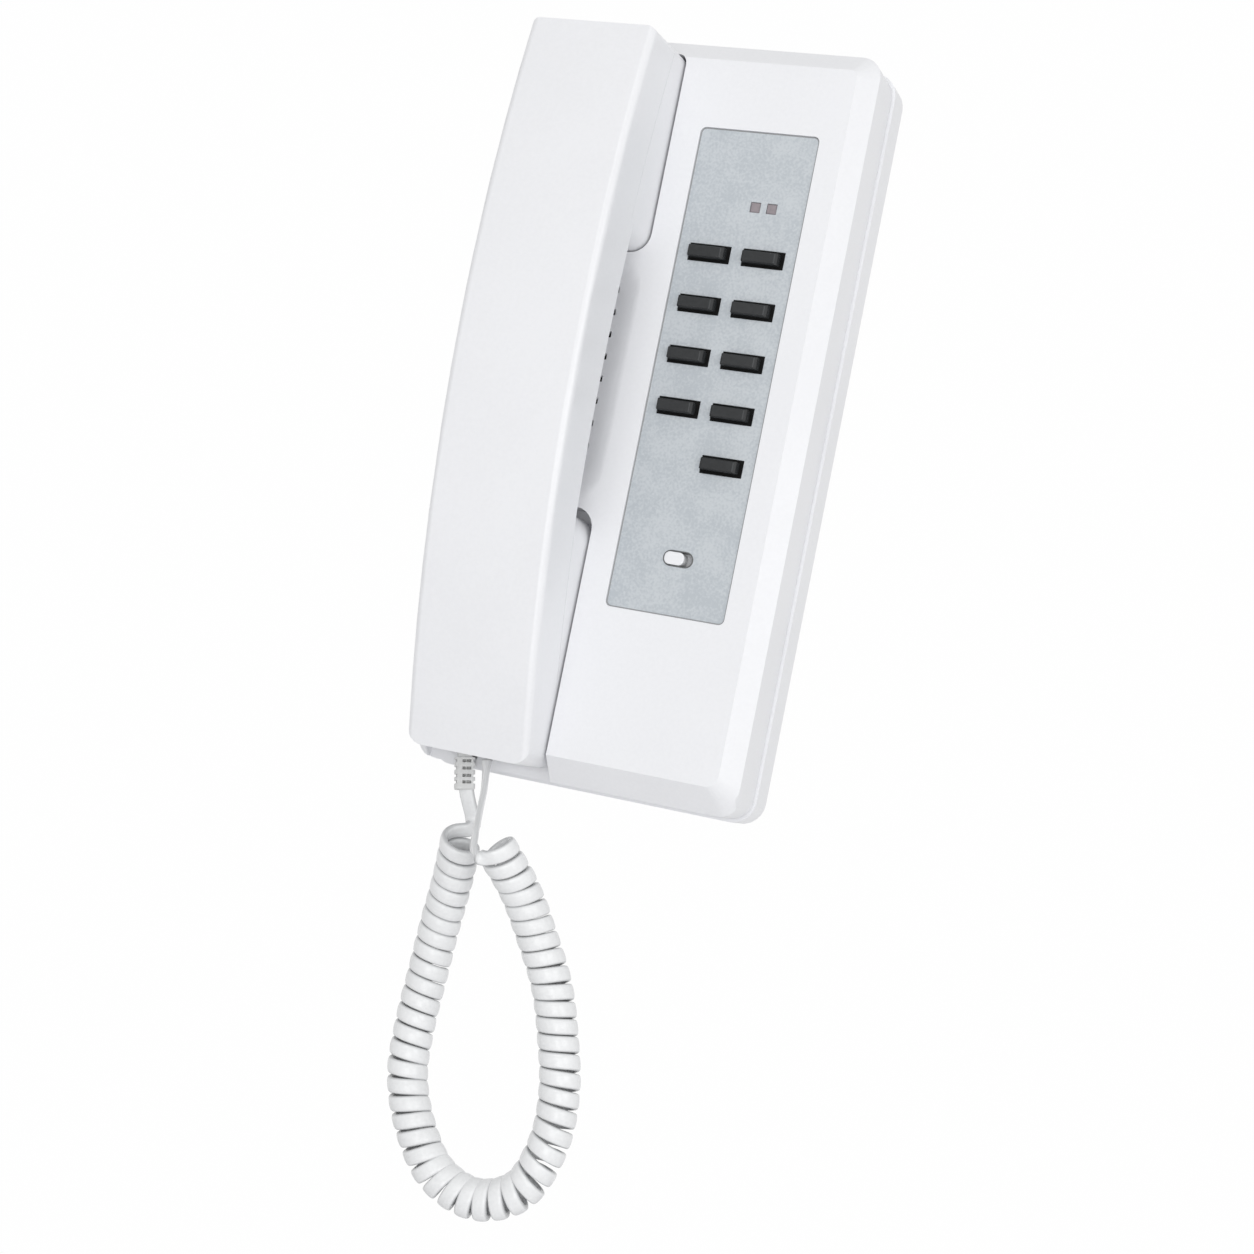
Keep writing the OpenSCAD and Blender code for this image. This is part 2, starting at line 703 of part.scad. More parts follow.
module wall_bracket() {
    tip_y = -back_t - fit - bracket_t;
    color(STEEL) difference() {
        union() {
            slab(-bracket_t, 0)
                polygon(outline(-bracket_w / 2, bracket_w / 2, -bracket_h / 2, bracket_h / 2, 3, 3));
            for (s = [-1, 1]) for (z = tab_z) {
                block([s * hook_x - tab_w / 2, tip_y, z], [s * hook_x + tab_w / 2, -eps, z + bracket_t]);
                block([s * hook_x - tab_w / 2, tip_y, z],
                      [s * hook_x + tab_w / 2, tip_y + bracket_t, z + bracket_t + tab_up]);
            }
        }
        block([-entry_w / 2 - entry_border, -back_t, -entry_h / 2 - entry_border],
              [entry_w / 2 + entry_border, eps, entry_h / 2 + entry_border]);
        for (s = [-1, 1]) rod(0, s * wall_screw_dz / 2, wall_screw_d, -bracket_t - eps, eps);
    }
}

// ---------------------------------------------------------------- panel, keys and lamps

module panel_plate() {
    color(GREY) difference() {
        slab(y_panel, y_panel + panel_t) panel_outline(0);
        panel_holes(y_panel - eps, y_panel + panel_t + eps);
    }
}

// Cap with a small bevel, the flange behind the panel and the stem towards its switch
module key(k) {
    y_cap = y_panel - key_out;
    y_flange = y_pad + fit;
    edge = 0.4;
    color(DARK) translate([key_x(k), 0, key_z(k)]) {
        hull() {
            block([-key_w / 2 + edge, y_cap, -key_h / 2 + edge],
                  [key_w / 2 - edge, y_cap + 2 * edge, key_h / 2 - edge]);
            block([-key_w / 2, y_cap + edge, -key_h / 2], [key_w / 2, y_flange, key_h / 2]);
        }
        block([-key_w / 2 - key_lap, y_flange, -key_h / 2 - key_lap],
              [key_w / 2 + key_lap, y_flange + key_flange, key_h / 2 + key_lap]);
        rod(0, 0, tact_button_d, y_flange, y_board - tact_h - key_travel - key_play);
    }
}

module key_switches() {
    color(BLACK) for (k = [0:8]) translate([key_x(k), 0, key_z(k)]) {
        block([-tact_w / 2, y_board - tact_h + tact_button_h, -tact_w / 2],
              [tact_w / 2, y_board, tact_w / 2]);
        rod(0, 0, tact_button_d, y_board - tact_h, y_board - 1);
    }
}

module lamp_windows() {
    color([0.66, 0.63, 0.62, 0.9]) for (i = [0, 1]) translate([lamp_x0 + i * lamp_dx, 0, lamp_z]) {
        s = lamp_w / 2 - panel_fit;
        lap = 0.6;
        block([-s, y_panel, -s], [s, y_pad + window_t, s]);
        block([-s - lap, y_pad + panel_fit, -s - lap], [s + lap, y_pad + window_t, s + lap]);
    }
}

// Round-ended lamps that stand on the board
module lamps() {
    color([0.85, 0.25, 0.2]) for (i = [0, 1]) translate([lamp_x0 + i * lamp_dx, 0, lamp_z]) {
        rod(0, 0, lamp_d, y_board - lamp_l, y_board);
        rod(0, 0, lamp_d + 2 * lamp_collar, y_board - 1, y_board);
        translate([0, y_board - lamp_l, 0]) sphere(d = lamp_d);
    }
}

module volume_knob() {
    y_foot = y_pad + fit;
    color(WHITE) translate([knob_x, 0, slot_z]) {
        slab(y_panel - knob_out, y_foot + foot_t / 2) pill(knob_l, knob_h);
        block([-foot_l / 2, y_foot, -slot_h / 2 - foot_lap],
              [foot_l / 2, y_foot + foot_t, slot_h / 2 + foot_lap]);
        block([-lever_w / 2, y_foot + foot_t / 2, -lever_h / 2],
              [lever_w / 2, y_board - lever_end, lever_h / 2]);
    }
}

module volume_switch() {
    color(BLACK) difference() {
        block([slot_cx - foot_l / 2, y_board - switch_t, slot_z - switch_h / 2],
              [slot_cx + foot_l / 2, y_board, slot_z + switch_h / 2]);
        block([knob_x - lever_w / 2 - fit, y_board - switch_t - eps, slot_z - lever_h / 2 - fit],
              [knob_x + knob_travel + lever_w / 2 + fit, y_board - lever_end + fit,
               slot_z + lever_h / 2 + fit]);
    }
}

// ---------------------------------------------------------------- board and works

module main_board() {
    color(BOARD) difference() {
        block([board_x0, y_board, board_z0], [board_x1, y_board + board_t, board_z1]);
        for (p = board_posts)
            rod(p[0], p[1], screw_d + 2 * shank_gap, y_board - eps, y_board + board_t + eps);
    }
}

// Pan-headed screw whose head lies behind the given depth and whose shank points forward
module screw(x, z, y_head, l) {
    rod(x, z, head_d, y_head, y_head + head_h);
    rod(x, z, screw_d, y_head - l, y_head + skin);
}

module board_screws() {
    color(STEEL) for (p = board_posts) screw(p[0], p[1], y_board + board_t, board_screw_l);
}

module case_screws() {
    color(STEEL) for (p = case_posts) screw(p[0], p[1], head_y, screw_l);
}

// Four screw terminals, each with a hole for its screw and one for its wire
module terminal_block() {
    terminals = 4;
    pitch = 5;
    size = 8;
    drop = 16;
    x0 = panel_x - terminals * pitch / 2;
    z0 = slot_z - drop;
    y0 = y_board + board_t;
    color([0.16, 0.34, 0.62]) difference() {
        block([x0, y0, z0], [x0 + terminals * pitch, y0 + size, z0 + size]);
        for (i = [0:terminals - 1]) {
            x = x0 + pitch * (i + 0.5);
            rod(x, z0 + size - screw_d, screw_d, y0 + screw_d, y0 + size + eps);
            block([x - 1.4, y0 + 1, z0 - eps], [x + 1.4, y0 + 3.6, z0 + 3]);
        }
    }
}

// Basket of the loudspeaker: a flange, a cone-shaped wall and a seat for the magnet
module speaker_frame() {
    y0 = speaker_y + gasket_t;
    r = speaker_d / 2;
    seat = speaker_h - magnet_t;
    color(STEEL) translate([hand_x, y0, grille_z]) rotate([-90, 0, 0]) rotate_extrude()
        polygon([[r - flange, 0], [r, 0], [r, 2], [magnet_d / 2, seat], [coil_d / 2, seat],
                 [coil_d / 2, seat - 1], [magnet_d / 2 - 1, seat - 1], [r - flange, 1.4]]);
}

module speaker_cone() {
    y0 = speaker_y + gasket_t;
    edge = speaker_d / 2 - flange - panel_fit;
    surround = edge - 2;
    dome = coil_d / 2 + 1;
    color(BLACK) translate([hand_x, y0, grille_z]) rotate([-90, 0, 0]) rotate_extrude()
        polygon([[0, 1.2], [dome, 2], [surround, 0.4], [edge, 0.4], [edge, 1], [surround, 1],
                 [dome, 2.7], [0, 1.9]]);
}

module speaker_magnet() {
    y0 = speaker_y + gasket_t + speaker_h - magnet_t;
    color(STEEL) {
        rod(hand_x, grille_z, magnet_d, y0, y0 + magnet_t);
        rod(hand_x, grille_z, coil_d - 2 * shank_gap, y0 - 1.5, y0 + 1);
    }
}

module speaker_gasket() {
    color(BLACK) difference() {
        rod(hand_x, grille_z, speaker_d, speaker_y, speaker_y + gasket_t);
        rod(hand_x, grille_z, speaker_d - 2 * speaker_rim, speaker_y - eps, speaker_y + gasket_t + eps);
    }
}

module hook_plunger() {
    tip = 1;
    stop_lap = 1.7;
    color(WHITE) {
        rod(hand_x, hook_z, hook_d, hook_tip + tip, hook_rear);
        translate([hand_x, hook_tip + tip, hook_z]) rotate([90, 0, 0])
            cylinder(d1 = hook_d, d2 = hook_d - 2 * tip, h = tip);
        rod(hand_x, hook_z, hook_d + 2 * stop_lap, hook_stop_y, hook_rear);
    }
}

module hook_switch() {
    y0 = hook_rear + fit;
    body_w = 14;
    body_h = 10;
    body_t = 6;
    wing_h = 8;
    color(BLACK) translate([hand_x, 0, hook_z]) difference() {
        union() {
            block([-wing_l / 2, y0, -wing_h / 2], [wing_l / 2, y0 + wing_t, wing_h / 2]);
            block([-body_w / 2, y0, -body_h / 2], [body_w / 2, y0 + body_t, body_h / 2]);
        }
        for (s = [-1, 1]) rod(s * wing_x, 0, screw_d + 2 * shank_gap, y0 - eps, y0 + wing_t + eps);
    }
}

module hook_screws() {
    color(STEEL) for (s = [-1, 1])
        screw(hand_x + s * wing_x, hook_z, hook_rear + fit + wing_t, hook_screw_l);
}

// ---------------------------------------------------------------- handset

// Curved slab between two radii about the arc's centre, with its front edges rounded by r
module arc_slab(r_in, r_out, half, r) {
    n = 4;
    rounded = r > 0 ? concat(
        [for (i = [0:n]) [r_out - r + r * cos(90 * i / n), half - r + r * sin(90 * i / n)]],
        [[r_in, half], [r_in, -half]],
        [for (i = [n:-1:0]) [r_out - r + r * cos(90 * i / n), -half + r - r * sin(90 * i / n)]])
        : [[r_out, half], [r_in, half], [r_in, -half], [r_out, -half]];
    span = 40;
    middle = -85;
    translate([hand_x, arc_y, hand_apex_z]) rotate([0, 90, 0]) rotate([0, 0, middle - span / 2])
        rotate_extrude(angle = span, $fn = long_fn) polygon(rounded);
}

// Everything behind the grip's back between two heights, where the fingers go
module grip_space(z_low, z_up) {
    intersection() {
        translate([hand_x - hand_w, grip_y, grip_apex_z]) rotate([0, 90, 0])
            cylinder(r = grip_arc, h = 2 * hand_w, $fn = long_fn);
        block([hand_x - hand_w, y_far, z_low], [hand_x + hand_w, eps, z_up]);
    }
}

// The two cups, with round corners towards the grip, grown by a gap
module cups(grow, y_front, y_back) {
    half = hand_w / 2 + grow;
    slab(y_front, y_back) {
        polygon(outline(hand_x - half, hand_x + half, ear_low - grow, hand_top + grow,
                        inner_r(hand_top_r, -grow), inner_r(ear_r, -grow)));
        polygon(outline(hand_x - half, hand_x + half, hand_low - grow, mouth_top + grow,
                        inner_r(mouth_r, -grow), inner_r(hand_low_r, -grow)));
    }
}

// The handset seen from the front, drawn in by an inset and lengthened at its bottom
module hand_shape(inset, longer) {
    half = hand_w / 2 - inset;
    polygon(outline(hand_x - half, hand_x + half, hand_low + inset - longer, hand_top - inset,
                    inner_r(hand_top_r, inset), inner_r(hand_low_r, inset)));
}

// The same as a solid, whose top end leans back from the front
module hand_outline(inset, y_back) {
    pivot = [0, y_face, hand_top - inset];
    intersection() {
        slab(y_far, y_back) hand_shape(inset, 0);
        translate(pivot) rotate([end_lean, 0, 0]) translate(-pivot)
            slab(y_far - 2 * past, past) hand_shape(inset, past);
    }
}

// Turns a slot to the flat cord's direction where it leaves the handset
module at_exit() {
    translate([exit_x, exit_y, 0]) rotate([0, 0, exit_turn]) children();
}

// Depth of the handset's front face at a height
function front_y(z) = arc_y - sqrt(pow(hand_arc, 2) - pow(z - hand_apex_z, 2));

module handset_front() {
    color(WHITE) difference() {
        union() {
            difference() {
                intersection() {
                    union() {
                        arc_slab(part_arc, hand_arc, hand_w / 2, edge_r);
                        // Between the cups the side walls reach the back of the grip
                        difference() {
                            intersection() {
                                arc_slab(part_arc - past, hand_arc - wall, hand_w / 2, 0);
                                block([hand_x - hand_w, y_far, mouth_top + seam],
                                      [hand_x + hand_w, 0, ear_low + ear_r]);
                            }
                            cups(seam, y_far, 0);
                        }
                    }
                    hand_outline(0, 0);
                }
                intersection() {
                    arc_slab(part_arc - past - eps, hand_arc - wall, hand_w / 2 - wall, edge_r - 1);
                    hand_outline(wall, 0);
                }
            }
            for (z = hand_screw_z) rod(hand_x, z, boss_d, front_y(z) + wall / 2, screw_seat - wall - seam);
        }
        grip_space(mouth_top, ear_low + ear_r + eps);
        for (z = hand_screw_z)
            rod(hand_x, z, screw_d + 2 * thread_gap, screw_seat - hand_screw_l - fit, y_grip);
        at_exit()
            block([-exit_l / 2, -exit_h / 2, hand_low - 1], [exit_l / 2, exit_h / 2, hand_low + wall + 1]);
    }
}

// Sound holes of the ear cup: one in the middle and a ring of eight
module sound_holes() {
    rod(hand_x, receiver_z, sound_d, y_cup - wall - eps, y_cup + eps);
    for (a = [0:45:315])
        rod(hand_x + sound_ring_r * cos(a), receiver_z + sound_ring_r * sin(a), sound_d,
            y_cup - wall - eps, y_cup + eps);
}

module handset_back() {
    color(WHITE) difference() {
        union() {
            // The two cups behind the parting line
            intersection() {
                arc_slab(part_arc - 3 * past, part_arc - seam, hand_w / 2, 0);
                cups(0, y_far, y_cup);
                hand_outline(0, 0);
            }
            // The grip's plate, let in between the front shell's side walls
            intersection() {
                hand_outline(wall + skin, y_cup - wall - eps);
                block([hand_x - hand_w, y_far, mouth_top - wall], [hand_x + hand_w, 0, ear_low + wall]);
                translate([hand_x - hand_w, grip_y, grip_apex_z]) rotate([0, 90, 0])
                    cylinder(r = grip_arc + wall, h = 2 * hand_w, $fn = long_fn);
            }
            for (z = hand_screw_z) rod(hand_x, z, head_d + 2 * head_wall, screw_seat - wall, y_grip + 1);
        }
        difference() {
            grip_space(mouth_top - mouth_r, ear_low + ear_r);
            cups(0, y_far, 0);
        }
        cups(-wall, y_far, y_cup - wall);
        for (z = hand_screw_z) {
            rod(hand_x, z, screw_d + 2 * shank_gap, y_grip - past, y_grip + past / 2);
            rod(hand_x, z, head_d + 2 * head_gap, screw_seat, y_grip + past / 2);
        }
        sound_holes();
        for (s = [-1, 0, 1])
            rod(hand_x + mic_hole_dx * s, mic_z, mic_hole_d, y_cup - wall - eps, y_cup + eps);
    }
}

module receiver() {
    y1 = y_cup - wall - gasket_t;
    color(DARK) {
        rod(hand_x, receiver_z, receiver_d, y1 - receiver_t, y1);
        rod(hand_x, receiver_z, receiver_d - 2 * receiver_step, y1 - receiver_back_t, y1 - receiver_t / 2);
    }
}

module receiver_gasket() {
    y1 = y_cup - wall;
    color(BLACK) difference() {
        rod(hand_x, receiver_z, receiver_d, y1 - gasket_t, y1);
        rod(hand_x, receiver_z, receiver_d - 2 * gasket_w, y1 - gasket_t - eps, y1 + eps);
    }
}

module microphone() {
    y1 = y_cup - wall - sleeve_lip;
    color(STEEL) rod(hand_x, mic_z, mic_d, y1 - mic_t, y1);
}

module microphone_sleeve() {
    y1 = y_cup - wall;
    color(BLACK) difference() {
        rod(hand_x, mic_z, mic_d + 2 * sleeve_wall, y1 - mic_t, y1);
        rod(hand_x, mic_z, mic_d, y1 - mic_t - eps, y1 - sleeve_lip);
        rod(hand_x, mic_z, mic_d - sleeve_wall, y1 - sleeve_lip - eps, y1 + eps);
    }
}

module handset_screws() {
    color(STEEL) for (z = hand_screw_z) screw(hand_x, z, screw_seat, hand_screw_l);
}

// Clamp inside the mouth cup that grips the flat cord above its slot
module handset_cord_clip() {
    body = [8, 6, 6];
    half_l = exit_l / 2 - exit_gap;
    half_h = exit_h / 2 - exit_gap;
    color(DARK) at_exit() {
        block([-body[0] / 2, -body[1] / 2, hand_low + wall],
              [body[0] / 2, body[1] / 2, hand_low + wall + body[2]]);
        block([-half_l, -half_h, hand_low], [half_l, half_h, hand_low + wall + 1]);
    }
}

// ---------------------------------------------------------------- cord

module cord_boot() {
    color(WHITE) {
        // Neck through the notch, and the head that locks behind the well's floor
        y_lock = y_well + wall + skin;
        block([boot_x - neck_w / 2, boot_y + 1, front_low + 0.4],
              [boot_x + neck_w / 2, y_lock + lock_t, hand_low - 0.5]);
        block([boot_x - neck_w / 2, y_well + skin, front_low + 0.6],
              [boot_x + neck_w / 2, y_lock + lock_t, hand_low + 1]);
        block([boot_x - lock_w / 2, y_lock, front_low + wall + skin],
              [boot_x + lock_w / 2, y_lock + lock_t, hand_low + 3]);
        translate([boot_x, boot_y, boot_top]) rotate([0, -boot_lean, 0]) difference() {
            union() {
                block([-boot_w / 2, -boot_d / 2, -boot_ribs * rib_pitch + 2 * rib_up],
                      [boot_w / 2, boot_d / 2, 0]);
                block([-boot_w / 2 + boot_core, -boot_d / 2 + boot_core, -boot_l],
                      [boot_w / 2 - boot_core, boot_d / 2 - boot_core, -1]);
            }
            // Slots between the ribs, in both sides and in the front and back
            for (i = [1:boot_ribs - 1]) translate([0, 0, -i * rib_pitch + rib_up]) {
                for (s = [-1, 1]) {
                    translate([s * boot_w / 2, 0, 0])
                        cube([2 * rib_slot_d, 2 * boot_d, rib_slot], center = true);
                    translate([0, s * boot_d / 2, 0])
                        cube([rib_slot_l, 2 * rib_slot_d, rib_slot], center = true);
                }
            }
        }
    }
}

function unit(v) = v / norm(v);
function across(v, along) = unit(v - (v * along) * along);

// Smooth curve through a list of points; u counts the points
function pick(p, i) = i < 0 ? 2 * p[0] - p[1] : i > len(p) - 1 ? 2 * p[len(p) - 1] - p[len(p) - 2] : p[i];
function blend(a, b, c, d, f) =
    0.5 * (2 * b + (c - a) * f + (2 * a - 5 * b + 4 * c - d) * f * f + (3 * b - a - 3 * c + d) * f * f * f);
function along(p, u) = let (i = min(floor(u), len(p) - 2))
    blend(pick(p, i - 1), p[i], p[i + 1], pick(p, i + 2), u - i);

// Cross-sections: six corners in the curls, eight in the free stretches, as [width, thickness]
SECTION_6 = [[1, 0], [0.62, 1], [-0.62, 1], [-1, 0], [-0.62, -1], [0.62, -1]];
SECTION_8 = [[1, 0.45], [0.7, 1], [-0.7, 1], [-1, 0.45], [-1, -0.45], [-0.7, -1], [0.7, -1], [1, -0.45]];

// Direction of travel at ring k of a route, its rings' corners, and the swept solid
function heading(route, k) = unit(route[min(k + 1, len(route) - 1)] - route[max(k - 1, 0)]);
function ring(route, wide, k, section) =
    let (t = heading(route, k), w = across(wide[k], t), n = cross(t, w))
    [for (c = section) route[k] + w * (c[0] * cord_w / 2) + n * (c[1] * cord_t / 2)];
function rings(route, wide, section) = [for (k = [0:len(route) - 1]) ring(route, wide, k, section)];

module sweep(all_rings) {
    m = len(all_rings[0]);
    n = len(all_rings);
    points = [for (r = all_rings) for (p = r) p];
    sides = [for (k = [0:n - 2]) for (j = [0:m - 1])
             let (a = k * m + j, b = k * m + (j + 1) % m)
             each [[a, b, b + m], [a, b + m, a + m]]];
    first = [for (j = [1:m - 2]) [0, j + 1, j]];
    last = [for (j = [1:m - 2]) let (o = (n - 1) * m) [o, o + j, o + j + 1]];
    polyhedron(points, concat(first, sides, last));
}

// The curls: one left-handed helix round CURL_ROUTE, of 8 rings to a curl
CURL_RINGS = 8;
curl_steps = floor(curls * CURL_RINGS);
function route_u(t) = t / curls * (len(CURL_ROUTE) - 1);
function curl_axis(t) = unit(along(CURL_ROUTE, route_u(t) + 0.02) - along(CURL_ROUTE, route_u(t) - 0.02));
function curl_point(t) =
    let (a = curl_axis(t), f = across([0, -1, 0], a), s = cross(a, f), turn = 180 - 360 * t)
    along(CURL_ROUTE, route_u(t)) + curl_r * (cos(turn) * f + sin(turn) * s);

// Curve from one point and direction to another, for the ends that run into the curls
function hermite(p, dp, q, dq, f) =
    let (g = 1 - f)
    (1 + 2 * f) * g * g * p + f * g * g * dp + f * f * (3 - 2 * f) * q - f * f * g * dq;

// The straight stubs at both ends, one cord's width long, and the bends into the helix
LEAD_T = 0.14;
LEAD_N = 5;
LEAD_PULL = 7;
base_end = BASE_ROUTE[len(BASE_ROUTE) - 1];
base_dir = unit(base_end - BASE_ROUTE[len(BASE_ROUTE) - 2]);
hand_end = HAND_ROUTE[0];
hand_dir = unit(HAND_ROUTE[1] - hand_end);
base_stub = base_end + base_dir * cord_w;
hand_stub = hand_end - hand_dir * cord_w;
function curl_dir(t) = unit(curl_point(t + 0.01) - curl_point(t - 0.01));
base_lead = [for (i = [1:LEAD_N]) hermite(base_stub, base_dir * LEAD_PULL, curl_point(LEAD_T),
                                          curl_dir(LEAD_T) * LEAD_PULL, i / LEAD_N)];
hand_lead = [for (i = [1:LEAD_N]) hermite(curl_point(curls - LEAD_T), curl_dir(curls - LEAD_T) * LEAD_PULL,
                                          hand_stub, hand_dir * LEAD_PULL, i / LEAD_N)];
function mix(a, b, f) = a * (1 - f) + b * f;
helix_t = [for (i = [1:curl_steps]) let (t = LEAD_T + i / CURL_RINGS) if (t < curls - LEAD_T - 0.06) t];
curl_path = concat([base_end, base_stub], base_lead, [for (t = helix_t) curl_point(t)],
                   [curl_point(curls - LEAD_T)], hand_lead, [hand_end]);
base_wide = BASE_WIDE[len(BASE_WIDE) - 1];
curl_wide = concat([base_wide, base_wide],
                   [for (i = [1:LEAD_N]) mix(base_wide, curl_axis(LEAD_T), i / LEAD_N)],
                   [for (t = helix_t) curl_axis(t)], [curl_axis(curls - LEAD_T)],
                   [for (i = [1:LEAD_N]) mix(curl_axis(curls - LEAD_T), HAND_WIDE[0], i / LEAD_N)],
                   [HAND_WIDE[0]]);
curl_rings = rings(curl_path, curl_wide, SECTION_6);

// Least distance from the corners of a ring to the corners of rings 6 to 13 further on
function near(a, b) = min([for (p = a) for (q = b) norm(p - q)]);
curl_gap = min([for (k = [0:len(curl_rings) - 7])
                for (j = [k + 6:min(k + 13, len(curl_rings) - 1)]) near(curl_rings[k], curl_rings[j])]);

module cord_curls() {
    echo(least_gap_between_curls = curl_gap, rings = len(curl_rings));
    color(WHITE) sweep(curl_rings);
}

// A free stretch through its route's points, with two rings to each stretch between them
module free_cord(route, wide) {
    n = 2 * (len(route) - 1);
    path = [for (i = [0:n]) along(route, i / 2)];
    turn = [for (i = [0:n]) along(wide, i / 2)];
    color(WHITE) sweep(rings(path, turn, SECTION_8));
}

module cord_base_end() {
    free_cord(BASE_ROUTE, BASE_WIDE);
}

module cord_handset_end() {
    free_cord(HAND_ROUTE, HAND_WIDE);
}

// ---------------------------------------------------------------- nodes

wall_bracket();
rear_cover();
front_cover();
panel_plate();
main_board();
key_switches();
lamp_windows();
lamps();
volume_switch();
volume_knob();
key(0);  // key_1
key(1);  // key_2
key(2);  // key_3
key(3);  // key_4
key(4);  // key_5
key(5);  // key_6
key(6);  // key_7
key(7);  // key_8
key(8);  // key_9
speaker_frame();
speaker_cone();
speaker_magnet();
speaker_gasket();
hook_plunger();
hook_switch();
terminal_block();
case_screws();
board_screws();
hook_screws();
cord_boot();
cord_base_end();
cord_curls();
cord_handset_end();
handset_front();
handset_back();
receiver();
receiver_gasket();
microphone();
microphone_sleeve();
handset_screws();
handset_cord_clip();
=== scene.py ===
"""Slimline wall phone with a coiled cord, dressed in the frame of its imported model."""

import json
import math

import bmesh
import bpy
from mathutils import Matrix, Vector
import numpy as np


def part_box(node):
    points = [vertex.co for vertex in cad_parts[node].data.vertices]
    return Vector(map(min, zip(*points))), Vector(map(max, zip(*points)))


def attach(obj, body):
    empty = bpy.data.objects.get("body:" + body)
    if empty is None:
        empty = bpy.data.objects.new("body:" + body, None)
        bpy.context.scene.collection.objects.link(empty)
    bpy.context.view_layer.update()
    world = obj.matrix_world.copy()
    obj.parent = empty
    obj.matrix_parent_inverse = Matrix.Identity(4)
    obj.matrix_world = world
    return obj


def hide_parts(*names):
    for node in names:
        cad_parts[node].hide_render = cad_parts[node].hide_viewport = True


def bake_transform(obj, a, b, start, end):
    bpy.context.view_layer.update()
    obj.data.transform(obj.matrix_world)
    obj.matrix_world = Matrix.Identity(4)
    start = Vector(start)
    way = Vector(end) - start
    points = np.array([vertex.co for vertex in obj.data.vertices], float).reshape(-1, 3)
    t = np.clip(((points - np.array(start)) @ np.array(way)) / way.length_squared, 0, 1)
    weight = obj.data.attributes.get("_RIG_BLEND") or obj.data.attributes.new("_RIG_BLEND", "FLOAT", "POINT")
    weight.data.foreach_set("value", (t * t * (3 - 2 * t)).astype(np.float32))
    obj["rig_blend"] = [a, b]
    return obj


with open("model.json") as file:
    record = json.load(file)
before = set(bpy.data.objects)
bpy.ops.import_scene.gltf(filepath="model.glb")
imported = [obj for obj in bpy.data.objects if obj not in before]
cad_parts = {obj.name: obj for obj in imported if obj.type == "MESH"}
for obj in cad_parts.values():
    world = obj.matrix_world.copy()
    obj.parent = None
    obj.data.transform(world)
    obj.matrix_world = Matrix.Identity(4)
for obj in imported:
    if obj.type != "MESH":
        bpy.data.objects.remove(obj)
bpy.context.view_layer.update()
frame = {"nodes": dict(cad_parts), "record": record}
MM = 0.001


# ---------------------------------------------------------------- camera

LENS_MM = 62.392
SENSOR_MM = 36.0
CAMERA_AT = Vector((0.220533, -0.602745, -0.098924))
CAMERA_RIGHT = Vector((0.92405882, 0.32741031, 0.19727594))
CAMERA_DOWN = Vector((0.16494979, 0.1240216, -0.97847341))
CAMERA_FORWARD = Vector((-0.34482876, 0.9367076, 0.06059699))


def place_camera():
    """Camera in front of the phone, to its right and a little below its middle."""
    data = bpy.data.cameras.new("view_camera")
    data.sensor_fit = "HORIZONTAL"
    data.sensor_width = SENSOR_MM
    data.lens = LENS_MM
    camera = bpy.data.objects.new("view_camera", data)
    turn = Matrix((CAMERA_RIGHT, -CAMERA_DOWN, -CAMERA_FORWARD)).transposed().to_4x4()
    camera.matrix_world = Matrix.Translation(CAMERA_AT) @ turn
    bpy.context.scene.collection.objects.link(camera)
    bpy.context.scene.camera = camera


place_camera()


# ---------------------------------------------------------------- shared node groups

def new_group(name, inputs, outputs):
    """Empty shader group with its input values and named outputs."""
    group = bpy.data.node_groups.new(name, "ShaderNodeTree")
    for label, kind, value in inputs:
        socket = group.interface.new_socket(label, in_out="INPUT", socket_type=kind)
        socket.default_value = value
    for label, kind in outputs:
        group.interface.new_socket(label, in_out="OUTPUT", socket_type=kind)
    start = group.nodes.new("NodeGroupInput")
    end = group.nodes.new("NodeGroupOutput")
    return group, start, end


def link(tree, source, target):
    """Links an output socket to an input socket."""
    tree.links.new(source, target)


def feed(tree, value, target):
    """Gives an input a fixed value, or a link where the value is a socket."""
    if isinstance(value, bpy.types.NodeSocket):
        link(tree, value, target)
    else:
        target.default_value = value


def noise(tree, vector, scale, detail=2.0):
    """Noise texture on a vector; the scale is a number or a socket."""
    node = tree.nodes.new("ShaderNodeTexNoise")
    node.inputs["Detail"].default_value = detail
    node.inputs["Roughness"].default_value = 0.5
    link(tree, vector, node.inputs["Vector"])
    feed(tree, scale, node.inputs["Scale"])
    return node.outputs["Fac"]


def math_node(tree, operation, first, second=0.0):
    """Math node on numbers or sockets."""
    node = tree.nodes.new("ShaderNodeMath")
    node.operation = operation
    feed(tree, first, node.inputs[0])
    feed(tree, second, node.inputs[1])
    return node.outputs[0]


def mix_colours(tree, share, first, second):
    """Colour between two, which are values or sockets."""
    node = tree.nodes.new("ShaderNodeMix")
    node.data_type = "RGBA"
    for socket, value in ((0, share), (6, first), (7, second)):
        feed(tree, value, node.inputs[socket])
    return node.outputs[2]


def remap(tree, value, low, high, to_low, to_high):
    """Moves a value from one range to another; the ends are numbers or sockets."""
    node = tree.nodes.new("ShaderNodeMapRange")
    ends = {"From Min": low, "From Max": high, "To Min": to_low, "To Max": to_high}
    for label, end in ends.items():
        feed(tree, end, node.inputs[label])
    link(tree, value, node.inputs["Value"])
    return node.outputs["Result"]


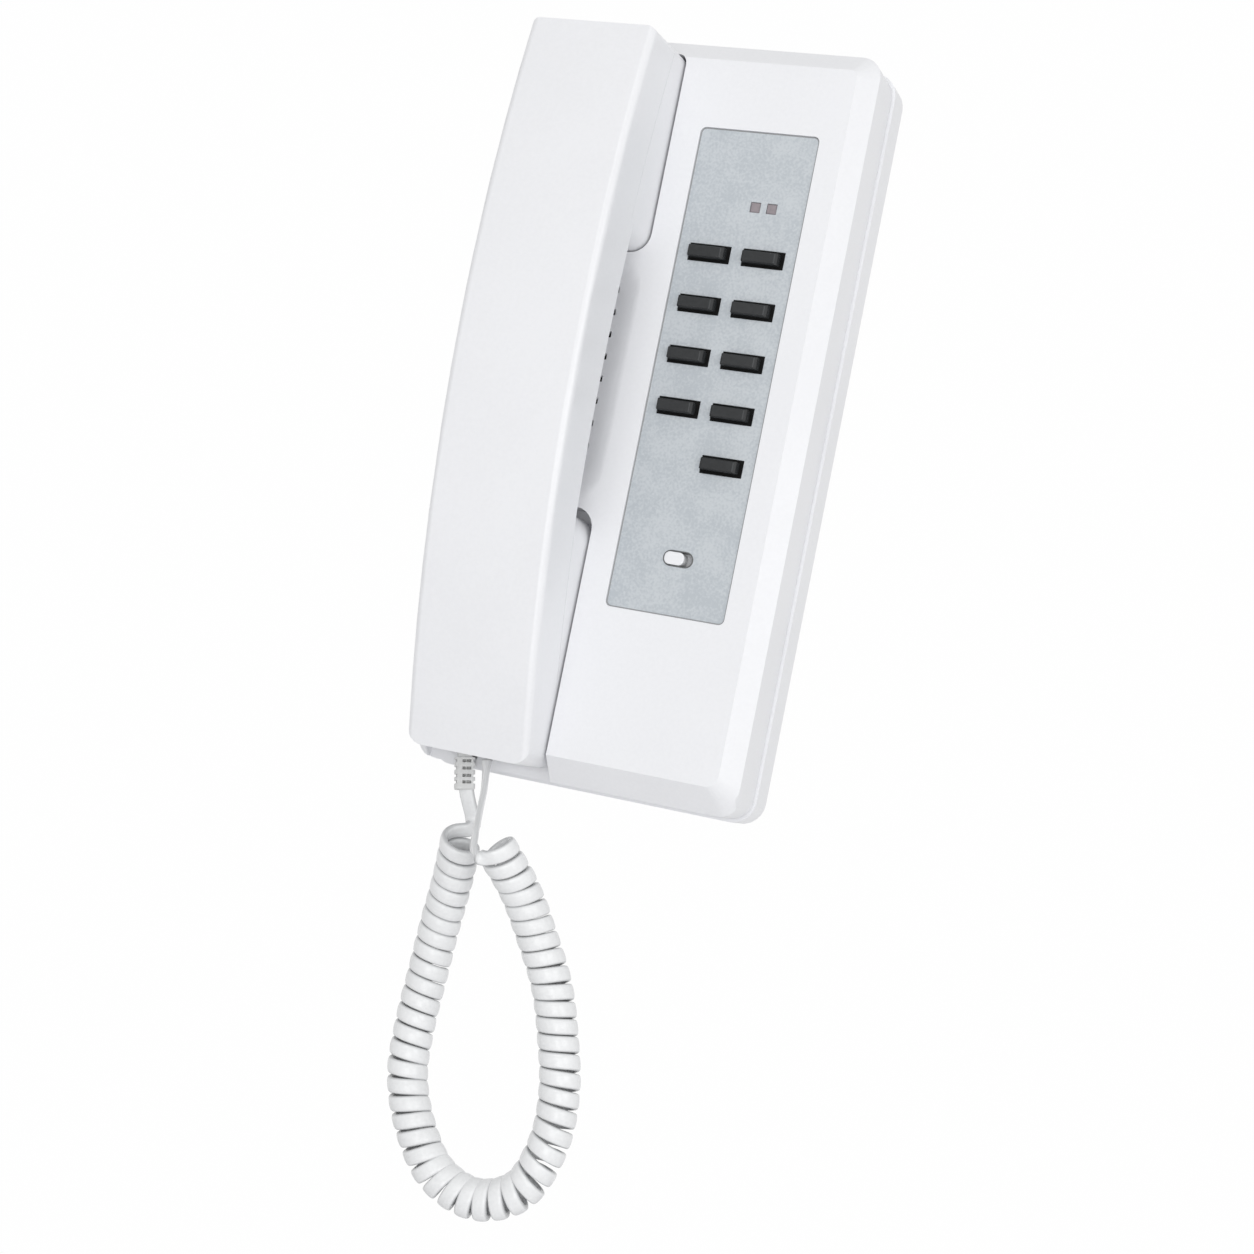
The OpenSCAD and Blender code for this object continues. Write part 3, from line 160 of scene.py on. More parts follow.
def build_moulded_grain():
    """Fine texture of a moulding tool: a grain height and a roughness that drifts."""
    group, start, end = new_group(
        "moulded_grain",
        [("Vector", "NodeSocketVector", (0, 0, 0)), ("Grain Scale", "NodeSocketFloat", 2500.0),
         ("Smoothest", "NodeSocketFloat", 0.3), ("Roughest", "NodeSocketFloat", 0.4)],
        [("Height", "NodeSocketFloat"), ("Roughness", "NodeSocketFloat")])
    fine = noise(group, start.outputs["Vector"], start.outputs["Grain Scale"], 3.0)
    wide = noise(group, start.outputs["Vector"], 38.0, 2.0)
    link(group, fine, end.inputs["Height"])
    gloss = remap(group, wide, 0.3, 0.7, start.outputs["Smoothest"], start.outputs["Roughest"])
    link(group, gloss, end.inputs["Roughness"])
    return group


def build_tone_drift():
    """Slow drift between two tones of one colour, with finer flecks on it."""
    group, start, end = new_group(
        "tone_drift",
        [("Vector", "NodeSocketVector", (0, 0, 0)), ("Scale", "NodeSocketFloat", 30.0),
         ("Fleck Scale", "NodeSocketFloat", 900.0), ("Fleck Share", "NodeSocketFloat", 0.3),
         ("Tone A", "NodeSocketColor", (0.8, 0.8, 0.8, 1)),
         ("Tone B", "NodeSocketColor", (0.7, 0.7, 0.7, 1))],
        [("Color", "NodeSocketColor")])
    slow = noise(group, start.outputs["Vector"], start.outputs["Scale"], 3.0)
    fleck = noise(group, start.outputs["Vector"], start.outputs["Fleck Scale"], 2.0)
    centred = math_node(group, "SUBTRACT", fleck, 0.5)
    part = math_node(group, "MULTIPLY", centred, start.outputs["Fleck Share"])
    whole = math_node(group, "ADD", slow, math_node(group, "MULTIPLY", part, 3.0))
    share = remap(group, whole, 0.3, 0.7, 0.0, 1.0)
    tone = mix_colours(group, share, start.outputs["Tone A"], start.outputs["Tone B"])
    link(group, tone, end.inputs["Color"])
    return group


GRAIN = build_moulded_grain()
TONE = build_tone_drift()


# ---------------------------------------------------------------- materials

FINE_BUMP = 0.00003


def start_material(name, roughness=0.4, metallic=0.0, specular=0.5):
    """Material with its shader and the object's own coordinates."""
    material = bpy.data.materials.new(name)
    material.use_nodes = True
    tree = material.node_tree
    shader = tree.nodes["Principled BSDF"]
    shader.inputs["Roughness"].default_value = roughness
    shader.inputs["Metallic"].default_value = metallic
    shader.inputs["Specular IOR Level"].default_value = specular
    place = tree.nodes.new("ShaderNodeTexCoord").outputs["Object"]
    return material, tree, shader, place


def place_group(tree, group, vector, values):
    """Group node on a vector, with its input values."""
    node = tree.nodes.new("ShaderNodeGroup")
    node.node_tree = group
    link(tree, vector, node.inputs["Vector"])
    for label, value in values.items():
        node.inputs[label].default_value = value
    return node


def drift(tree, vector, tone_a, tone_b, **values):
    """Colour that drifts between two tones; the values are inputs of the tone group."""
    inputs = {"Tone A": (*tone_a, 1), "Tone B": (*tone_b, 1)}
    for word, value in values.items():
        inputs[word.replace("_", " ").title()] = value
    return place_group(tree, TONE, vector, inputs).outputs["Color"]


def paint(tree, shader, colour):
    """Gives the shader its base colour from a socket."""
    link(tree, colour, shader.inputs["Base Color"])


def surface(tree, shader, vector, scale, smooth, rough):
    """Roughness that drifts between two values; returns the grain's height."""
    node = place_group(tree, GRAIN, vector,
                       {"Grain Scale": scale, "Smoothest": smooth, "Roughest": rough})
    link(tree, node.outputs["Roughness"], shader.inputs["Roughness"])
    return node.outputs["Height"]


def add_bump(tree, shader, height, strength, distance=FINE_BUMP):
    """Bump from a height; the distance is in metres."""
    bump = tree.nodes.new("ShaderNodeBump")
    bump.inputs["Strength"].default_value = strength
    bump.inputs["Distance"].default_value = distance
    link(tree, height, bump.inputs["Height"])
    link(tree, bump.outputs["Normal"], shader.inputs["Normal"])


def plastic(name, tone_a, tone_b, smooth, rough, scale=2500.0, grain=0.25, depth=FINE_BUMP, **more):
    """Moulded plastic: two close tones, a fine grain and a gloss that drifts."""
    material, tree, shader, place = start_material(name, **more)
    paint(tree, shader, drift(tree, place, tone_a, tone_b))
    add_bump(tree, shader, surface(tree, shader, place, scale, smooth, rough), grain, depth)
    return material


def brushed_plate(name):
    """Painted plate with a fine mottled sparkle."""
    material, tree, shader, place = start_material(name, metallic=0.1, specular=0.4)
    paint(tree, shader, drift(tree, place, (0.470, 0.506, 0.538), (0.555, 0.588, 0.614),
                              scale=110.0, fleck_scale=1300.0, fleck_share=0.45))
    add_bump(tree, shader, surface(tree, shader, place, 3200.0, 0.38, 0.5), 0.15)
    return material


def bright_steel(name):
    """Plated steel with drawn marks along one way."""
    material, tree, shader, place = start_material(name, metallic=1.0)
    stretch = tree.nodes.new("ShaderNodeMapping")
    stretch.inputs["Scale"].default_value = (1.0, 1.0, 0.06)
    link(tree, place, stretch.inputs["Vector"])
    paint(tree, shader, drift(tree, place, (0.60, 0.61, 0.63), (0.50, 0.51, 0.53), scale=90.0))
    height = surface(tree, shader, stretch.outputs["Vector"], 2600.0, 0.26, 0.4)
    add_bump(tree, shader, height, 0.2)
    return material


def board_lacquer(name):
    """Green board with a woven base and pale tracks under the lacquer."""
    material, tree, shader, place = start_material(name)
    tracks = tree.nodes.new("ShaderNodeTexBrick")
    tracks.inputs["Scale"].default_value = 160.0
    tracks.inputs["Mortar Size"].default_value = 0.035
    tracks.inputs["Color1"].default_value = (0.012, 0.10, 0.036, 1)
    tracks.inputs["Color2"].default_value = (0.018, 0.13, 0.045, 1)
    tracks.inputs["Mortar"].default_value = (0.06, 0.25, 0.09, 1)
    turn = tree.nodes.new("ShaderNodeMapping")
    turn.inputs["Rotation"].default_value = (math.radians(90), 0, 0)
    link(tree, place, turn.inputs["Vector"])
    link(tree, turn.outputs["Vector"], tracks.inputs["Vector"])
    paint(tree, shader, tracks.outputs["Color"])
    surface(tree, shader, place, 1500.0, 0.25, 0.35)
    add_bump(tree, shader, tracks.outputs["Fac"], 0.3)
    return material


def lamp_glass(name):
    """Frosted grey window with the lamp's tint behind it."""
    material, tree, shader, place = start_material(name)
    paint(tree, shader, drift(tree, place, (0.40, 0.345, 0.365), (0.34, 0.30, 0.32), scale=500.0))
    shader.inputs["Transmission Weight"].default_value = 0.25
    shader.inputs["IOR"].default_value = 1.49
    surface(tree, shader, place, 2500.0, 0.18, 0.3)
    return material


RIBS = 10


def cord_jacket(name):
    """Vinyl of the flat cord, on its own map: faint ribs over the wires and edges greyed by painted shade,
    where the grooves between curls fall.
    """
    material, tree, shader, place = start_material(name)
    jacket_tone = drift(tree, place, (0.845, 0.853, 0.860), (0.80, 0.808, 0.815), scale=60.0)
    fine = surface(tree, shader, place, 2200.0, 0.22, 0.3)
    split = tree.nodes.new("ShaderNodeSeparateXYZ")
    link(tree, tree.nodes.new("ShaderNodeTexCoord").outputs["UV"], split.inputs[0])
    round_way = math_node(tree, "MULTIPLY", split.outputs["X"], 2 * math.pi)
    edge = math_node(tree, "ABSOLUTE", math_node(tree, "COSINE", round_way))
    # painted shade: near the section's edges, where neighbouring curls meet in grooves, the colour is mixed
    # towards grey
    painted_groove_shade = remap(tree, edge, 0.72, 1.0, 0.0, 0.85)
    paint(tree, shader, mix_colours(tree, painted_groove_shade, jacket_tone, (0.47, 0.478, 0.486, 1)))
    wave = math_node(tree, "SINE", math_node(tree, "MULTIPLY", round_way, RIBS))
    height = math_node(tree, "ADD", math_node(tree, "MULTIPLY", wave, 0.5), fine)
    add_bump(tree, shader, height, 0.35, 0.00005)
    return material


def paper_cone(name):
    """Dark pressed paper with coarse fibres."""
    material, tree, shader, place = start_material(name)
    paint(tree, shader, drift(tree, place, (0.035, 0.034, 0.032), (0.07, 0.067, 0.062),
                              scale=300.0, fleck_scale=2500.0, fleck_share=0.8))
    add_bump(tree, shader, surface(tree, shader, place, 3000.0, 0.85, 0.95), 0.8, 0.0001)
    return material


WHITE = plastic("white_plastic", (0.845, 0.851, 0.872), (0.825, 0.831, 0.852), 0.28, 0.36)
KEY = plastic("key_plastic", (0.017, 0.0185, 0.020), (0.024, 0.0255, 0.027), 0.42, 0.52,
              grain=0.4, specular=0.35)
SKIRT = plastic("key_skirt_black", (0.003, 0.003, 0.003), (0.005, 0.005, 0.005), 0.6, 0.7,
                specular=0.12)
# painted shade: mid-grey for the inside of the volume slot, where only shade falls
SLOT_SHADE = plastic("slot_painted_shade", (0.13, 0.133, 0.135), (0.16, 0.163, 0.165), 0.5, 0.6,
                specular=0.2)
# painted shadow: grey for the shadow line in the gap round the panel plate
EDGE = plastic("panel_gap_painted_shadow", (0.31, 0.318, 0.326), (0.34, 0.348, 0.356), 0.5, 0.6,
               specular=0.2)
# painted highlight: a lighter grey for the sheen on the key caps near their lower right ends
KEY_SHEEN = plastic("key_painted_sheen", (0.048, 0.051, 0.054), (0.060, 0.063, 0.066), 0.4, 0.5,
                grain=0.4, specular=0.35)
BOOT = plastic("boot_vinyl", (0.70, 0.705, 0.70), (0.66, 0.665, 0.66), 0.36, 0.46)
BLACK = plastic("black_plastic", (0.014, 0.014, 0.015), (0.022, 0.022, 0.023), 0.4, 0.5)
RED = plastic("lamp_red", (0.45, 0.03, 0.02), (0.38, 0.02, 0.015), 0.12, 0.2, grain=0.05)
FOAM = plastic("foam_black", (0.012, 0.012, 0.013), (0.03, 0.03, 0.03), 0.88, 0.96,
               scale=1400.0, grain=0.9, depth=0.0003)
BLUE = plastic("terminal_blue", (0.02, 0.085, 0.30), (0.03, 0.10, 0.34), 0.35, 0.45)
PANEL = brushed_plate("panel_metal")
STEEL = bright_steel("steel")
BOARD = board_lacquer("board_green")
GLASS = lamp_glass("lamp_window")
CORD = cord_jacket("cord_white")
PAPER = paper_cone("speaker_paper")

FINISH = {
    "white_plastic": WHITE, "panel_metal": PANEL, "key_plastic": KEY, "steel": STEEL,
    "board_green": BOARD, "black_plastic": BLACK, "lamp_window": GLASS, "lamp_red": RED,
    "speaker_paper": PAPER, "foam_black": FOAM, "terminal_blue": BLUE, "cord_white": CORD,
}


def give_finish(piece, material):
    """Puts one material on a piece in place of what it had."""
    piece.data.materials.clear()
    piece.data.materials.append(material)


# ---------------------------------------------------------------- cord

CURLS = 47.64
CURL_R = 5.0
CORD_W = 4.5
CORD_T = 1.9
CURL_ROUTE = [Vector(p) for p in (
    (-26.3, -31.5, -129.6), (-29.3, -25, -142.4), (-32.1, -20.8, -156), (-33.5, -19.2, -170.5),
    (-34.1, -19.4, -185.1), (-32.9, -20.1, -199.8), (-27.3, -20.2, -213.3), (-18, -19.9, -224.7),
    (-4.7, -19.7, -228.7), (7.8, -19.5, -222.7), (13.4, -19.3, -208.2), (13.2, -18.9, -193.3),
    (9.7, -19.1, -179.1), (5.3, -20.3, -165.4), (-1.1, -23, -152.4), (-7.2, -27.8, -140.3),
    (-13.9, -35.5, -129.6))]
BASE_ROUTE = [Vector(p) for p in (
    (-31.3, -24, -115.3), (-30.5, -23.9, -117.5), (-29.7, -23.4, -119.6), (-28.9, -22.6, -121.8))]
BASE_WIDE = [Vector((1, 0, 0))] * 4
HAND_ROUTE = [Vector(p) for p in (
    (-18.9, -39.6, -128.3), (-19.3, -38.8, -126), (-19.9, -37.4, -123), (-20.6, -35.8, -118.9),
    (-21.1, -34.6, -115), (-22.1, -33.5, -110), (-22.7, -33, -106.1))]
HAND_WIDE = [Vector(p) for p in (
    (-0.5, 0.85, 0), (-0.4, 0.9, 0), (-0.35, 0.94, 0), (-0.35, 0.94, 0), (-0.4, 0.9, 0),
    (-0.55, 0.83, 0), (-0.8, 0.6, 0))]
LEAD_T = 0.1
LEAD_PULL = 11.0
STUB = 1.2
ROUTE_STEPS = 6
STUB_STEPS = 3
LEAD_STEPS = 12
STEPS_A_CURL = 28
AXIS_REACH = 0.02
WAY_REACH = 0.01
MAP_PER_METRE = 40


def across(v, way):
    """Part of v that stands square to a direction, as a unit vector."""
    return (v - way * v.dot(way)).normalized()


def along(points, u):
    """Point on the smooth curve through a list of points; u counts them."""
    last = len(points) - 1
    i = max(0, min(int(math.floor(u)), last - 1))
    f = u - i
    a = points[i - 1] if i > 0 else 2 * points[0] - points[1]
    b, c = points[i], points[i + 1]
    d = points[i + 2] if i + 2 <= last else 2 * points[last] - points[last - 1]
    return 0.5 * (2 * b + (c - a) * f + (2 * a - 5 * b + 4 * c - d) * f * f
                  + (3 * b - a - 3 * c + d) * f ** 3)


def hermite(p, dp, q, dq, f):
    """Point on the curve from p to q that leaves along dp and arrives along dq."""
    g = 1 - f
    return (1 + 2 * f) * g * g * p + f * g * g * dp + f * f * (3 - 2 * f) * q - f * f * g * dq


def curl_axis(t):
    """Direction of the curls' middle line after t curls."""
    u = t / CURLS * (len(CURL_ROUTE) - 1)
    return (along(CURL_ROUTE, u + AXIS_REACH) - along(CURL_ROUTE, u - AXIS_REACH)).normalized()


def curl_point(t):
    """Point of the left-handed helix after t curls."""
    axis = curl_axis(t)
    front = across(Vector((0, -1, 0)), axis)
    side = axis.cross(front)
    turn = math.radians(180 - 360 * t)
    middle = along(CURL_ROUTE, t / CURLS * (len(CURL_ROUTE) - 1))
    return middle + CURL_R * (math.cos(turn) * front + math.sin(turn) * side)


def curl_way(t):
    """Direction of the cord itself after t curls."""
    return (curl_point(t + WAY_REACH) - curl_point(t - WAY_REACH)).normalized()


def cord_course():
    """Points of the cord's middle line in millimetres, and the way its broad side faces."""
    course, wide = [], []
    for i in range(ROUTE_STEPS * (len(BASE_ROUTE) - 1) + 1):
        course.append(along(BASE_ROUTE, i / ROUTE_STEPS))
        wide.append(along(BASE_WIDE, i / ROUTE_STEPS))
    base_end, base_way = BASE_ROUTE[-1], (BASE_ROUTE[-1] - BASE_ROUTE[-2]).normalized()
    hand_end, hand_way = HAND_ROUTE[0], (HAND_ROUTE[1] - HAND_ROUTE[0]).normalized()
    base_stub, hand_stub = base_end + base_way * STUB, hand_end - hand_way * STUB
    for i in range(1, STUB_STEPS + 1):
        course.append(base_end.lerp(base_stub, i / STUB_STEPS))
        wide.append(BASE_WIDE[-1])
    for i in range(1, LEAD_STEPS + 1):
        f = i / LEAD_STEPS
        course.append(hermite(base_stub, base_way * LEAD_PULL, curl_point(LEAD_T),
                              curl_way(LEAD_T) * LEAD_PULL, f))
        wide.append(BASE_WIDE[-1].lerp(curl_axis(LEAD_T), f))
    count = int((CURLS - 2 * LEAD_T) * STEPS_A_CURL)
    for i in range(1, count + 1):
        t = LEAD_T + i * (CURLS - 2 * LEAD_T) / count
        course.append(curl_point(t))
        wide.append(curl_axis(t))
    end_t = CURLS - LEAD_T
    for i in range(1, LEAD_STEPS + 1):
        f = i / LEAD_STEPS
        course.append(hermite(curl_point(end_t), curl_way(end_t) * LEAD_PULL, hand_stub,
                              hand_way * LEAD_PULL, f))
        wide.append(curl_axis(end_t).lerp(HAND_WIDE[0], f))
    for i in range(1, STUB_STEPS + 1):
        course.append(hand_stub.lerp(hand_end, i / STUB_STEPS))
        wide.append(HAND_WIDE[0])
    for i in range(1, ROUTE_STEPS * (len(HAND_ROUTE) - 1) + 1):
        course.append(along(HAND_ROUTE, i / ROUTE_STEPS))
        wide.append(along(HAND_WIDE, i / ROUTE_STEPS))
    return course, wide


def cord_section():
    """Flat section with round edges and arched faces: across and through, in millimetres."""
    quarter = [(1.0, 0.0), (0.96, 0.42), (0.84, 0.72), (0.62, 0.89), (0.33, 0.97)]
    upper = quarter + [(0.0, 1.0)] + [(-x, y) for x, y in reversed(quarter)]
    whole = upper + [(x, -y) for x, y in reversed(upper[1:-1])]
    return [(x * CORD_W / 2, y * CORD_T / 2) for x, y in whole]


def sweep(name, section, course, wide, far):
    """Mesh of a section along a course; its map runs round the section and along the course."""
    m, n = len(section), len(course)
    points, faces = [], []
    for k in range(n):
        way = (course[min(k + 1, n - 1)] - course[max(k - 1, 0)]).normalized()
        w = across(wide[k], way)
        thick = way.cross(w)
        points += [(course[k] + w * x + thick * y) * MM for x, y in section]
    for k in range(n - 1):
        for j in range(m):
            a, b = k * m + j, k * m + (j + 1) % m
            faces.append((a, b, b + m, a + m))
    faces.append(tuple(reversed(range(m))))
    faces.append(tuple(range((n - 1) * m, n * m)))
    mesh = bpy.data.meshes.new(name)
    mesh.from_pydata(points, [], faces)
    layer = mesh.uv_layers.new(name="run")
    for polygon in mesh.polygons:
        last_strip = polygon.index < (n - 1) * m and polygon.index % m == m - 1
        for loop in polygon.loop_indices:
            v = mesh.loops[loop].vertex_index
            j = m if last_strip and v % m == 0 else v % m
            layer.data[loop].uv = (j / m, far[v // m] * MAP_PER_METRE)
    return mesh


def make_cord():
    """One unbroken flat cord from the strain relief through the curls to the handset."""
    section = cord_section()
    course, wide = cord_course()
    far = [0.0]
    for a, b in zip(course, course[1:]):
        far.append(far[-1] + (b - a).length * MM)
    mesh = sweep("coiled_cord", section, course, wide, far)
    cord = bpy.data.objects.new("coiled_cord", mesh)
    bpy.context.scene.collection.objects.link(cord)
    face_outwards(cord)
    mesh.polygons.foreach_set("use_smooth", [True] * len(mesh.polygons))
    give_finish(cord, CORD)
    ends = (Vector(course[0]) * MM, Vector(course[-1]) * MM)
    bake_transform(cord, "base", "handset", start=ends[0], end=ends[1])
    share = []
    for travelled in far:
        f = travelled / far[-1]
        share += [f * f * (3 - 2 * f)] * len(section)
    mesh.attributes["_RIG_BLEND"].data.foreach_set("value", share)
    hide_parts("cord_base_end", "cord_curls", "cord_handset_end")


# ---------------------------------------------------------------- working on a piece

MERGE_M = 0.000005
FLAT_DEG = 1.0
EDGE_DEG = 28
SMOOTH_DEG = 40


def deselect_all():
    """Leaves nothing selected."""
    bpy.ops.object.select_all(action="DESELECT")


def face_outwards(piece):
    """Turns all faces outwards."""
    shape = bmesh.new()
    shape.from_mesh(piece.data)
    bmesh.ops.recalc_face_normals(shape, faces=shape.faces)
    shape.to_mesh(piece.data)
    shape.free()


def take_up(piece):
    """Makes a piece the only one selected and active."""
    deselect_all()
    piece.select_set(True)
    bpy.context.view_layer.objects.active = piece


def soften(piece, width, segments=2, angle=EDGE_DEG):
    """Rounds the edges that are sharper than an angle, and shades the rest smooth."""
    take_up(piece)
    bevel = piece.modifiers.new("soft_edges", "BEVEL")
    bevel.width = width * MM
    bevel.segments = segments
    bevel.limit_method = "ANGLE"
    bevel.angle_limit = math.radians(angle)
    bevel.harden_normals = False
    bevel.miter_outer = "MITER_ARC"
    bpy.ops.object.modifier_apply(modifier=bevel.name)
    bpy.ops.object.shade_smooth_by_angle(angle=math.radians(SMOOTH_DEG))
    weigh = piece.modifiers.new("even_shading", "WEIGHTED_NORMAL")
    weigh.keep_sharp = True
    bpy.ops.object.modifier_apply(modifier=weigh.name)


def copy_of(node, name, parted=()):
    """Merged copy of a CAD node's mesh, with flat faces joined again and parted at some x."""
    source = frame["nodes"][node]
    piece = bpy.data.objects.new(name, source.data.copy())
    piece.data.name = name
    bpy.context.scene.collection.objects.link(piece)
    take_up(piece)
    bpy.ops.object.mode_set(mode="EDIT")
    bpy.ops.mesh.select_all(action="SELECT")
    bpy.ops.mesh.remove_doubles(threshold=MERGE_M)
    bpy.ops.mesh.dissolve_limited(angle_limit=math.radians(FLAT_DEG))
    for x in parted:
        bpy.ops.mesh.select_all(action="SELECT")
        bpy.ops.mesh.bisect(plane_co=(x * MM, 0, 0), plane_no=(1, 0, 0))
    bpy.ops.object.mode_set(mode="OBJECT")
    return piece


def dress(node, body, slot, width, parted=()):
    """Copy of a node with moulded edges, in the node's place."""
    piece = copy_of(node, node + "_dressed", parted)
    soften(piece, width)
    give_finish(piece, FINISH[slot])
    join_frame(piece, body, (node,))


def dress_covers():
    """Covers, shells and plates with moulded edges."""
    dress("rear_cover", "base", "white_plastic", 0.6, parted=(-22, 0, 22))
    dress("front_cover", "base", "white_plastic", 0.45)
    dress("handset_front", "handset", "white_plastic", 0.5)
    dress("handset_back", "handset", "white_plastic", 0.4)
    dress("panel_plate", "base", "panel_metal", 0.12)
    dress("wall_bracket", "base", "steel", 0.25)


# ---------------------------------------------------------------- modelling by hand

DISC_SIDES = 32
SQUARE = 0.9


def start_block(name, low, high):
    """Cube between two corners in millimetres, left in edit mode."""
    deselect_all()
    low, high = Vector(low), Vector(high)
    bpy.ops.mesh.primitive_cube_add(size=1, location=(low + high) / 2 * MM, scale=(high - low) * MM)
    return begin(name)


def start_disc(name, middle, radius, depth):
    """Cylinder along Y, left in edit mode."""
    deselect_all()
    bpy.ops.mesh.primitive_cylinder_add(vertices=DISC_SIDES, radius=radius * MM, depth=depth * MM,
                                        location=Vector(middle) * MM,
                                        rotation=(math.radians(90), 0, 0))
    return begin(name)


def begin(name):
    """Names the new piece, applies its place and size, and opens it for editing."""
    piece = bpy.context.active_object
    piece.name = piece.data.name = name
    bpy.ops.object.transform_apply(location=True, rotation=True, scale=True)
    bpy.ops.object.mode_set(mode="EDIT")
    return piece


def choose(piece, kind, test):
    """Selects what passes a test of its middle, in millimetres, and of its direction or normal."""
    bpy.ops.mesh.select_mode(type=kind)
    bpy.ops.mesh.select_all(action="DESELECT")
    shape = bmesh.from_edit_mesh(piece.data)
    shape.normal_update()
    if kind == "FACE":
        found = [f for f in shape.faces if test(f.calc_center_median() / MM, f.normal)]
    elif kind == "EDGE":
        found = [e for e in shape.edges if test((e.verts[0].co + e.verts[1].co) / 2 / MM,
                                                (e.verts[1].co - e.verts[0].co).normalized())]
    else:
        found = [v for v in shape.verts if test(v.co / MM, v.normal)]
    for item in found:
        item.select_set(True)
    shape.select_flush_mode()
    bmesh.update_edit_mesh(piece.data)


def push(x, y, z):
    """Extrudes what is selected, by millimetres."""
    bpy.ops.mesh.extrude_region_move(TRANSFORM_OT_translate={"value": Vector((x, y, z)) * MM})


def step(x_share, z_share, middle, way):
    """Extrudes the selected face in its plane to a share of its size, then out along Y."""
    bpy.ops.mesh.extrude_region_move()
    bpy.ops.transform.resize(value=(x_share, 1, z_share), center_override=Vector(middle) * MM)
    push(0, way, 0)


def cut(middle, normal):
    """Cuts what is selected by a plane."""
    bpy.ops.mesh.bisect(plane_co=Vector(middle) * MM, plane_no=normal)


def everything(place, normal):
    """Test that all faces pass."""
    return True


def upright(place, way):
    """Test for edges that run along Y."""
    return abs(way.y) > SQUARE


def bevel_edges(width, segments):
    """Rounds the selected edges by millimetres."""
    bpy.ops.mesh.bevel(offset=width * MM, segments=segments, affect="EDGES")


def inset(thickness, depth=0.0):
    """Insets the selected faces, and raises them, by millimetres."""
    bpy.ops.mesh.inset(thickness=thickness * MM, depth=depth * MM)


def frontmost(y):
    """Test for faces that look forward, in front of y."""
    return lambda place, normal: normal.y < -SQUARE and place.y < y


def rearmost(y):
    """Test for faces that look to the wall, behind y."""
    return lambda place, normal: normal.y > SQUARE and place.y > y


def finish_piece(piece, body, slot, nodes=(), width=0.1, segments=2, angle=EDGE_DEG, finish=None):
    """Soft edges, a finish and a body for a piece modelled by hand."""
    bpy.ops.object.mode_set(mode="OBJECT")
    face_outwards(piece)
    soften(piece, width, segments, angle)
    give_finish(piece, finish or FINISH[slot])
    join_frame(piece, body, nodes)


def join_frame(piece, body, nodes):
    """Ties a piece to its body and the nodes that it replaces."""
    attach(piece, body)
    if nodes:
        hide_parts(*nodes)


def moved_copy(piece, name, shift):
    """Copy with its own mesh, moved by millimetres."""
    twin = bpy.data.objects.new(name, piece.data.copy())
    twin.data.name = name
    twin.data.transform(Matrix.Translation(Vector(shift) * MM))
    bpy.context.scene.collection.objects.link(twin)
    return twin


def join_pieces(pieces):
    """Makes one piece of several and returns it."""
    deselect_all()
    for piece in pieces:
        piece.select_set(True)
    bpy.context.view_layer.objects.active = pieces[0]
    bpy.ops.object.join()
    return pieces[0]


# ---------------------------------------------------------------- keys, windows and volume knob

PANEL_Y = -29.4
PAD_Y = -26.1
BEHIND_FACE = 0.3

KEY_PITCH = (16.15, 15)
KEY_AT = [(11.525 + KEY_PITCH[0] * (k % 2 if k < 8 else 1), 47.1 - KEY_PITCH[1] * (k // 2))
          for k in range(9)]
KEY_HALF = (5.5, 1.65)
CAP_LEFT = 0.38
CAP_RISE = 2.2
CAP_FOOT = 0.4
CAP_CORNER = 0.3
CAP_CHAMFER = (0.3, 0.25)
CAP_SHEEN_STRIP = (1.4, 1.05)
CAP_SLOPE_FROM = 0.9
CAP_SLOPE_FALL = 0.5
COLLAR = (0.7, 0.85)
FLANGE = 1.5
FLANGE_THICK = 1
STEM_HALF = 1.7
STEM_LENGTH = 0.7
STEM_CORNER = 0.8

WINDOW_AT = (22.35, 61.7)
WINDOW_STEP = 4.9
WINDOW_HALF = 1.45
WINDOW_CHAMFER = (0.28, 0.22)
WINDOW_FLANGE_HALF = 2.05
WINDOW_FLANGE_Y = (PAD_Y - 0.25, PAD_Y + 0.5)

KNOB_AT = (19.3, -40.5)
KNOB_HALF = (2.95, 1.82)
KNOB_OFF_MIDDLE = 0.05
KNOB_RISE = 0.4
KNOB_CORNER = 1.6
KNOB_FOOT_HALF = (6, 3.2)
KNOB_FOOT_THICK = 1.2
LEVER_HALF = (1, 1.25)
LEVER_LENGTH = 2.9
KNOB_DOME = ((0.12, 0.1), (0.16, 0.07), (0.3, 0.05))
SLOT_AT = (20.4, -40.5)
SLOT_HALF = (4.48, 2.28)
SLOT_CORNER = 2.2
SLOT_SHADE_WALL = 0.33
PANEL_CORNER = 1.7
GAP_SHADOW_WALL = 0.34


def make_key_cap():
    """Cap of the first key: rounded corners, a chamfer, a pale strip of painted sheen and a lower right end.
    """
    (x, z), (w, h) = KEY_AT[0], KEY_HALF
    x -= CAP_LEFT
    front = PANEL_Y - CAP_RISE
    cap = start_block("key_cap_1", (x - w, front + CAP_CHAMFER[1], z - h),
                      (x + w, PANEL_Y + CAP_FOOT, z + h))
    choose(cap, "EDGE", upright)
    bevel_edges(CAP_CORNER, 3)
    choose(cap, "FACE", frontmost(front + 1))
    inset(*CAP_CHAMFER)
    for end in CAP_SHEEN_STRIP:
        choose(cap, "FACE", everything)
        cut((x + w - end, 0, 0), (1, 0, 0))
    choose(cap, "VERT", lambda place, normal: place.y < front + 0.05
           and place.x > x + w - CAP_SLOPE_FROM)
    bpy.ops.transform.translate(value=(0, CAP_SLOPE_FALL * MM, 0))
    finish_piece(cap, "button_1", "key_plastic", ("key_1",), width=0.07)
    # painted highlight: the front faces between the strip's cuts take the lighter grey
    cap.data.materials.append(KEY_SHEEN)
    for polygon in cap.data.polygons:
        from_end = x + w - polygon.center.x / MM
        if polygon.normal.y < -0.99 and CAP_SHEEN_STRIP[1] < from_end < CAP_SHEEN_STRIP[0]:
            polygon.material_index = 1
    return cap


